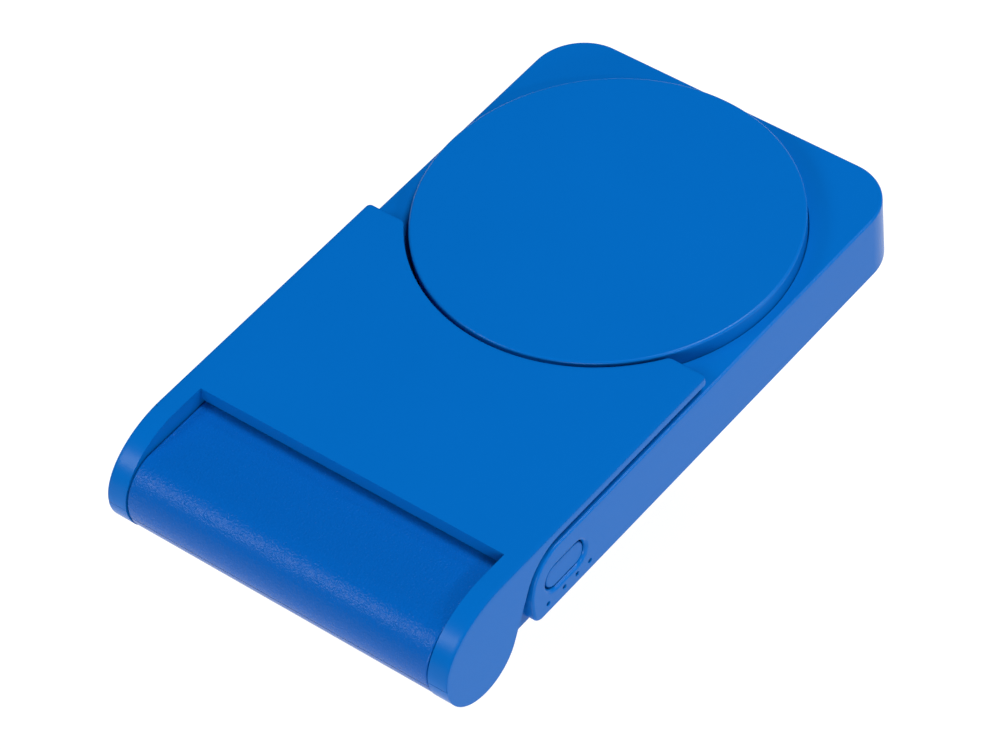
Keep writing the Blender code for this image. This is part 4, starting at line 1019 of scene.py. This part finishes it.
@dataclass
class ChargingSocket:
    """The charging socket in the left side: drawn steel shell, tongue and its contacts."""

    sheet: float = 0.3 * MM
    lip: float = 0.12 * MM
    clearance: float = 0.2 * MM
    soft: float = 0.3 * MM
    back_wall: float = 0.8 * MM
    tongue_edge: float = 0.15 * MM
    contact_pitch: float = 0.5 * MM
    contact_count: int = 12
    contact_size: tuple[float, float, float] = (2.6 * MM, 0.28 * MM, 0.04 * MM)
    contact_start: float = 2.1 * MM
    contact_edge: float = 0.012 * MM
    mouth: float = SOCKET_LOW.x
    back: float = SOCKET_HIGH.x
    width: float = SOCKET_HIGH.y - SOCKET_LOW.y
    height: float = SOCKET_HIGH.z - SOCKET_LOW.z
    centre: Point = ((SOCKET_LOW.y + SOCKET_HIGH.y) / 2, (SOCKET_LOW.z + SOCKET_HIGH.z) / 2)

    def cutters(self, side: float) -> list[bpy.types.Object]:
        """The slot in the case's side, flared so that a plug finds it."""
        outline = oval(self.centre, self.width + 2 * self.clearance, self.height + 2 * self.clearance)
        slot = rounded("socket_slot", outline, side - SKIN, side + 3 * PAST, Plane.SIDE, -self.soft, 0.0)
        mouth = prism("socket_mouth", outline(-self.soft), side - PAST, side, Plane.SIDE)
        return [combine(slot, Join.ADD, mouth)]

    def build(self) -> list[bpy.types.Object]:
        """The shell with a rounded lip, the moulded tongue, and gold contacts on both its faces."""
        outline = oval(self.centre, self.width, self.height, 20)
        shell = rounded("socket_shell", outline, self.mouth, self.back, Plane.SIDE, self.lip)
        room = rounded("socket_room", lambda inset: outline(self.sheet + inset), self.mouth - PAST,
                       self.back - self.back_wall, Plane.SIDE)
        combine(shell, Join.CUT, room)
        hand_over(shell, "housing", (STAMPED_STEEL,), ["usb_c_socket"])

        low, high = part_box("usb_c_tongue")
        tongue = box("socket_tongue", low, high)
        round_edges(tongue, self.tongue_edge, sharper_than(CORNER_DEG), 3)
        hand_over(tongue, "housing", (BLACK_COMPOUND,), ["usb_c_tongue"])

        pads = bmesh.new()
        first = self.centre[0] - self.contact_pitch * (self.contact_count - 1) / 2
        size = Matrix.Diagonal((*self.contact_size, 1.0))
        for index in range(self.contact_count):
            y = first + index * self.contact_pitch
            for z in (low.z, high.z):
                place = Matrix.Translation((low.x + self.contact_start, y, z))
                bmesh.ops.create_cube(pads, size=1.0, matrix=place @ size)
        contacts = to_object("socket_contacts", pads)
        round_edges(contacts, self.contact_edge, sharper_than(CORNER_DEG), 1)
        hand_over(contacts, "housing", (GOLD_FLASH,))
        return [shell, tongue, contacts]


# ---------------------------------------------------------------- stand flap
@dataclass
class StandFlap:
    """The folding stand: a plate with two ears that turn on the barrel's ends, and its inner cover."""

    edge_z: float = 16.2 * MM
    base_z: float = LINER_LOW.z
    far: float = FLAP_HIGH.y
    half: float = FLAP_HIGH.x
    top: float = FLAP_HIGH.z
    ear_radius: float = HINGE.z
    front_length: float = 13.5 * MM
    back_arc: float = 8.7 * MM
    back_y: float = -29.2 * MM
    inner_x: float = 28.35 * MM
    window_y: float = -37.25 * MM
    sill: float = 1.3 * MM
    cutout: float = 30.7 * MM
    horn: float = 1.25 * MM
    corner: float = 0.7 * MM
    rim: float = 0.34 * MM
    soft: float = 0.34 * MM
    parting_z: float = 7.8 * MM
    parting_width: float = 0.26 * MM
    parting_depth: float = 0.15 * MM
    pocket_inset: float = 1.9 * MM
    pocket_top: float = 16.65 * MM
    pocket_side: float = 1.2 * MM
    liner_inset: float = 0.95 * MM
    liner_edge: float = 0.2 * MM
    liner_side: float = 0.3 * MM
    liner_gap: float = 0.3 * MM
    neck_y: float = -28.0 * MM
    neck_lap: float = 1.0 * MM
    liner_near: float = -28.6 * MM
    sill_lap: float = 0.4 * MM
    shaft_radius: float = 2.15 * MM
    shaft_end: float = 30.9 * MM
    shaft_key: float = 1.35 * MM

    @property
    def behind_sill(self) -> float:
        """Where the pocket and the inner cover start, just behind the window's sill."""
        return self.window_y + self.sill + self.liner_gap

    def side_outline(self, far: float) -> Outline:
        """The flap from the side: round ear, elliptical front, flat top and hollow back."""
        back_centre = (self.back_y, self.edge_z - self.back_arc)
        along = math.degrees(math.atan2(back_centre[1] - HINGE.z, back_centre[0] - HINGE.y))
        reach = math.hypot(back_centre[0] - HINGE.y, back_centre[1] - HINGE.z)
        leave = along - math.degrees(math.acos((self.ear_radius + self.back_arc) / reach))
        middle = (HINGE.y - self.ear_radius + self.front_length, HINGE.z)
        front = arc(middle, self.front_length, 90, 180, 40, self.top - HINGE.z)
        lower = arc(HINGE.centre, self.ear_radius, 180, 360 + leave, 64)
        back = arc(back_centre, self.back_arc, 180 + leave, 90, 24)
        return [(far, self.top)] + front + lower[1:] + back + [(far, self.edge_z)]

    def plan(self, inset: float, near: float) -> Outline:
        """The plate from above, with the arc cut out round the disc between two round horns."""
        side = self.half - inset
        far = self.far - inset
        cutout = self.cutout + inset
        corner = arc((side - self.corner, far - self.corner), self.corner, 0, 90, 12)
        drop = DISC_AXIS[1] - (far - self.horn)
        horn_x = math.sqrt((cutout + self.horn) ** 2 - drop ** 2)
        meet = math.degrees(math.atan2(drop, horn_x))
        horn = arc((horn_x, far - self.horn), self.horn, 90, 180 - meet, 10)
        sweep = arc(DISC_AXIS, cutout, 360 - meet, 180 + meet, 96)
        right = corner + horn
        left = [(-x, y) for x, y in reversed(right)]
        return [(-side, near), (side, near)] + right + sweep[1:-1] + left

    def rim_share(self, edge: bmesh.types.BMEdge) -> float:
        """The upper outline is rounded, down to the mould's parting line; below that it is crisp."""
        if edge.calc_face_angle(0.0) < math.radians(RIM_DEG):
            return 0.0
        ends = [vert.co for vert in edge.verts]
        near_top = all(end.z > self.top - SKIN for end in ends)
        on_side = all(abs(end.x) > self.half - SKIN for end in ends)
        ahead = HINGE.y - self.ear_radius + self.front_length + SKIN
        in_front = all(end.y < ahead and end.z > HINGE.z - SKIN for end in ends)
        return 1.0 if near_top or (on_side and in_front) else 0.0

    def window_share(self, edge: bmesh.types.BMEdge) -> float:
        """The soft edge round the window, where the barrel shows."""
        if edge.calc_face_angle(0.0) < math.radians(RIM_DEG):
            return 0.0
        ends = [vert.co for vert in edge.verts]
        on_wall = all(abs(abs(end.x) - self.inner_x) < SKIN for end in ends)
        ahead = all(end.y < self.window_y + SKIN for end in ends)
        outer = all(end.z > HINGE.z or end.y < HINGE.y for end in ends)
        along_sill = all(abs(end.y - self.window_y) < SKIN and end.z > self.top - SKIN for end in ends)
        return 1.0 if (on_wall and ahead and outer) or along_sill else 0.0

    def hollows(self) -> list[bpy.types.Object]:
        """The cutters for the window, the plate's underside and the pocket behind the inner cover."""
        inner = self.inner_x
        window = box("flap_window", (-inner, AHEAD - 2 * PAST, BENEATH), (inner, self.window_y, ABOVE))
        back = box("flap_back", (-inner, self.window_y - PAST, BENEATH),
                   (inner, self.neck_y + 8 * PAST, self.edge_z))
        return [window, back]

    def pockets(self) -> list[bpy.types.Object]:
        """The room for the stiffening sheet and the inner cover."""
        plate = prism("flap_pocket", self.plan(self.pocket_inset, self.neck_y), self.base_z, self.pocket_top)
        reach = self.inner_x - self.pocket_side
        neck = box("flap_near_pocket", (-reach, self.behind_sill, self.base_z),
                   (reach, self.neck_y + self.neck_lap, self.pocket_top))
        return [plate, neck]

    def shaft_sockets(self) -> list[bpy.types.Object]:
        """The keyed hole in each ear's inner face."""
        made = []
        for side in (-1, 1):
            low, high = sorted((side * (self.inner_x - PAST), side * self.shaft_end))
            hole = rod("ear_socket", ((low + high) / 2, *HINGE.centre), self.shaft_radius, high - low,
                       steps=40)
            key = box("ear_key", (low - PAST, HINGE.y - 3 * PAST, HINGE.z + self.shaft_key),
                      (high + PAST, HINGE.y + 3 * PAST, HINGE.z + 3 * PAST))
            made.append(combine(hole, Join.CUT, key))
        return made

    def parting_cutter(self) -> bpy.types.Object:
        """A fine groove across the ears' fronts, where the mould's halves meet."""
        front = HINGE.y - self.ear_radius
        half = self.parting_width / 2
        outline = [(front - PAST, self.parting_z - half),
                   (front + self.parting_depth, self.parting_z - half / 4),
                   (front + self.parting_depth, self.parting_z + half / 4),
                   (front - PAST, self.parting_z + half)]
        reach = self.half + PAST
        return prism("parting_groove", outline, -reach, reach, Plane.SIDE)

    def build_cover(self) -> bpy.types.Object:
        """The outer shell with its ears."""
        cover = prism("flap_shell", self.side_outline(self.far + 3 * PAST), -self.half, self.half, Plane.SIDE)
        trim = prism("flap_trim", self.plan(0.0, AHEAD), BENEATH, ABOVE)
        combine(cover, Join.KEEP, trim)
        round_edges(cover, self.rim, self.rim_share, 6)
        combine(cover, Join.CUT, *self.hollows())
        reach = self.inner_x + self.sill_lap
        sill = box("flap_sill", (-reach, self.window_y, self.base_z),
                   (reach, self.window_y + self.sill, self.edge_z + self.sill_lap))
        combine(cover, Join.ADD, sill)
        combine(cover, Join.CUT, *self.pockets(), *self.shaft_sockets(), self.parting_cutter())
        round_edges(cover, self.soft, self.window_share, 4)
        return hand_over(cover, "stand_flap", (SHELL_SATIN,), ["flap_cover"])

    def build_liner(self) -> bpy.types.Object:
        """The thin inner cover with a soft outer edge."""
        liner = rounded("flap_liner", lambda more: self.plan(self.liner_inset + more, self.liner_near),
                        self.base_z, LINER_HIGH.z, Plane.LEVEL, self.liner_edge, 0.0, 4)
        reach = self.inner_x - self.liner_side
        neck = box("liner_neck", (-reach, self.behind_sill, self.base_z),
                   (reach, self.neck_y + self.neck_lap, LINER_HIGH.z))
        combine(liner, Join.ADD, neck)
        return hand_over(liner, "stand_flap", (SHELL_SATIN,), ["flap_inner_cover"])


# ---------------------------------------------------------------- works inside
@dataclass
class InnerWorks:
    """The frame's own nodes that stay as they are and get their finishes."""

    finishes: dict[str, Finish] = field(default_factory=lambda: {
        "coil_carrier": BLACK_COMPOUND, "controller_chip": BLACK_COMPOUND, "charger_chip": BLACK_COMPOUND,
        "tactile_switch": BLACK_COMPOUND, "battery_lead_negative": BLACK_COMPOUND,
        "magnet_ring": PLATED_MAGNET, "magnet_yoke": STAMPED_STEEL, "flap_stiffener": STAMPED_STEEL,
        "charging_coil": COPPER_WIRE, "coil_lead_outer": COPPER_WIRE, "coil_lead_inner": COPPER_WIRE,
        "ferrite_sheet": SINTERED_FERRITE, "power_inductor": SINTERED_FERRITE,
        "heat_spreader": ALUMINIUM_SHEET, "battery_cell": POUCH_FOIL,
        "battery_foam_pad_near": CUT_FOAM, "battery_foam_pad_far": CUT_FOAM,
        "protection_board": BOARD_LACQUER, "main_board": BOARD_LACQUER,
        "cell_tab_positive": NICKEL_STRIP, "cell_tab_negative": NICKEL_STRIP,
        "battery_lead_positive": RED_INSULATION, "switch_plunger": WHITE_ACETAL,
    })
    paired: dict[str, Finish] = field(default_factory=lambda: {
        "board_screw": TURNED_STEEL, "bracket_screw": TURNED_STEEL, "hinge_bracket": STAMPED_STEEL,
        "hinge_shaft": TURNED_STEEL, "spring_washer": STAMPED_STEEL, "lock_nut": TURNED_STEEL,
        "hinge_bush": WHITE_ACETAL,
    })
    light_count: int = 4

    def dress(self) -> None:
        """Put each finish on its node."""
        chosen = dict(self.finishes)
        for name, finish in self.paired.items():
            chosen |= {f"{name}_left": finish, f"{name}_right": finish}
        chosen |= {f"status_led_{number}": LED_SILICONE for number in range(1, self.light_count + 1)}
        for name, finish in chosen.items():
            item = frame["nodes"][name]
            for place in item.material_slots:
                place.material = material_of(finish)
            LOG.info("%s: %s", name, finish.name)


# ---------------------------------------------------------------- studio
@dataclass(frozen=True)
class Softbox:
    """One rectangular lamp, aimed at the object."""

    name: str
    azimuth: float
    elevation: float
    distance: float
    size: float
    power: float

    def place(self, aim: Vector) -> None:
        """Hang the lamp and aim it."""
        lamp = bpy.data.lights.new(self.name, "AREA")
        lamp.shape = "SQUARE"
        lamp.size = self.size
        lamp.energy = self.power
        item = bpy.data.objects.new(self.name, lamp)
        bpy.context.scene.collection.objects.link(item)
        back = direction(self.azimuth, self.elevation)
        item.location = aim + back * self.distance
        item.rotation_euler = back.to_track_quat("Z", "Y").to_euler()


def direction(azimuth: float, elevation: float) -> Vector:
    """The unit vector from the object towards a viewpoint; azimuth 0 is the hinge's side, 90 the right."""
    around, up = math.radians(azimuth), math.radians(elevation)
    return Vector((math.sin(around) * math.cos(up), -math.cos(around) * math.cos(up), math.sin(up)))


@dataclass
class Studio:
    """A plain floor, soft lamps and the camera."""

    azimuth: float = 43.11
    elevation: float = 47.07
    roll: float = -6.7
    distance: float = 723.0 * MM
    lens: float = 174.0
    near_clip: float = 10.0 * MM
    aim: Vector = field(default_factory=lambda: Vector((-2.05 * MM, -1.35 * MM, 3.95 * MM)))
    floor_colour: str = "#6E6F70"
    floor_glow: float = 0.93
    floor_half: float = 6.0
    floor_roughness: float = 0.8
    clearance: float = 1.0 * MM
    horizon: float = 0.4
    ceiling: float = 0.02
    fade_height: float = 0.3
    lamps: tuple[Softbox, ...] = (
        Softbox("key_softbox", 140.0, 66.0, 1.1, 0.4, 11.2),
        Softbox("front_softbox", -36.0, 38.5, 0.6, 0.16, 1.0),
        Softbox("fill_softbox", 24.0, 12.0, 1.1, 0.35, 5.5),
        Softbox("right_softbox", 74.0, 32.0, 1.2, 0.1, 2.2),
        Softbox("side_softbox", 124.0, 28.0, 1.2, 0.1, 2.4),
    )

    def lay_floor(self) -> None:
        """A matt glowing floor, low enough that the flap clears it wherever it is turned."""
        sweep = math.hypot(FLAP_HIGH.y - HINGE.y, FLAP_HIGH.z - HINGE.z)
        level = HINGE.z - sweep - self.clearance
        bm = bmesh.new()
        bmesh.ops.create_grid(bm, x_segments=1, y_segments=1, size=self.floor_half,
                              matrix=Matrix.Translation((0, 0, level)))
        floor = to_object("studio_floor", bm)
        sheet = LitAcrylic("studio_floor", self.floor_colour, self.floor_roughness, self.floor_glow)
        floor.data.materials.append(sheet.make())

    def light(self) -> None:
        """Pale light round the horizon that fades to a dim ceiling, and the softboxes."""
        world = bpy.data.worlds.new("studio")
        bpy.context.scene.world = world
        world.use_nodes = True
        tree = world.node_tree
        tree.nodes.clear()
        toward = add_node(tree, "ShaderNodeTexCoord").outputs["Generated"]
        height = add_node(tree, "ShaderNodeSeparateXYZ", links={"Vector": toward}).outputs["Z"]
        fade = add_node(tree, "ShaderNodeMapRange", {"From Min": 0.0, "From Max": self.fade_height,
                                                     "To Min": self.horizon, "To Max": self.ceiling},
                        {"Value": height})
        glow = add_node(tree, "ShaderNodeBackground", {"Color": (1.0, 1.0, 1.0, 1.0)},
                        {"Strength": fade.outputs["Result"]})
        add_node(tree, "ShaderNodeOutputWorld", links={"Surface": glow.outputs["Background"]})
        for lamp in self.lamps:
            lamp.place(self.aim)

    def set_camera(self) -> None:
        """A long lens, looking down across the hinge's right end."""
        data = bpy.data.cameras.new("camera")
        data.lens = self.lens
        data.clip_start = self.near_clip
        camera = bpy.data.objects.new("camera", data)
        bpy.context.scene.collection.objects.link(camera)
        back = direction(self.azimuth, self.elevation)
        level = back.to_track_quat("Z", "Y").to_matrix().to_4x4()
        camera.matrix_world = (Matrix.Translation(self.aim + back * self.distance) @ level
                               @ Matrix.Rotation(math.radians(self.roll), 4, "Z"))
        bpy.context.scene.camera = camera

    def build(self) -> None:
        """Set up the whole studio."""
        bpy.context.scene.view_settings.view_transform = "Standard"
        self.set_camera()
        self.lay_floor()
        self.light()


def main() -> None:
    """Build the studio, then each sub-assembly in order."""
    logging.basicConfig(level=logging.INFO, format="%(name)s %(message)s")
    Studio().build()
    button = PowerButton()
    lights = StatusLights()
    socket = ChargingSocket()
    disc = ChargingDisc()
    case = Case()
    case.build_housing(button, socket, lights, disc)
    case.build_cover()
    disc.build()
    button.build()
    lights.build(case.half)
    socket.build()
    flap = StandFlap()
    flap.build_cover()
    flap.build_liner()
    InnerWorks().dress()


if __name__ == "__main__":
    main()
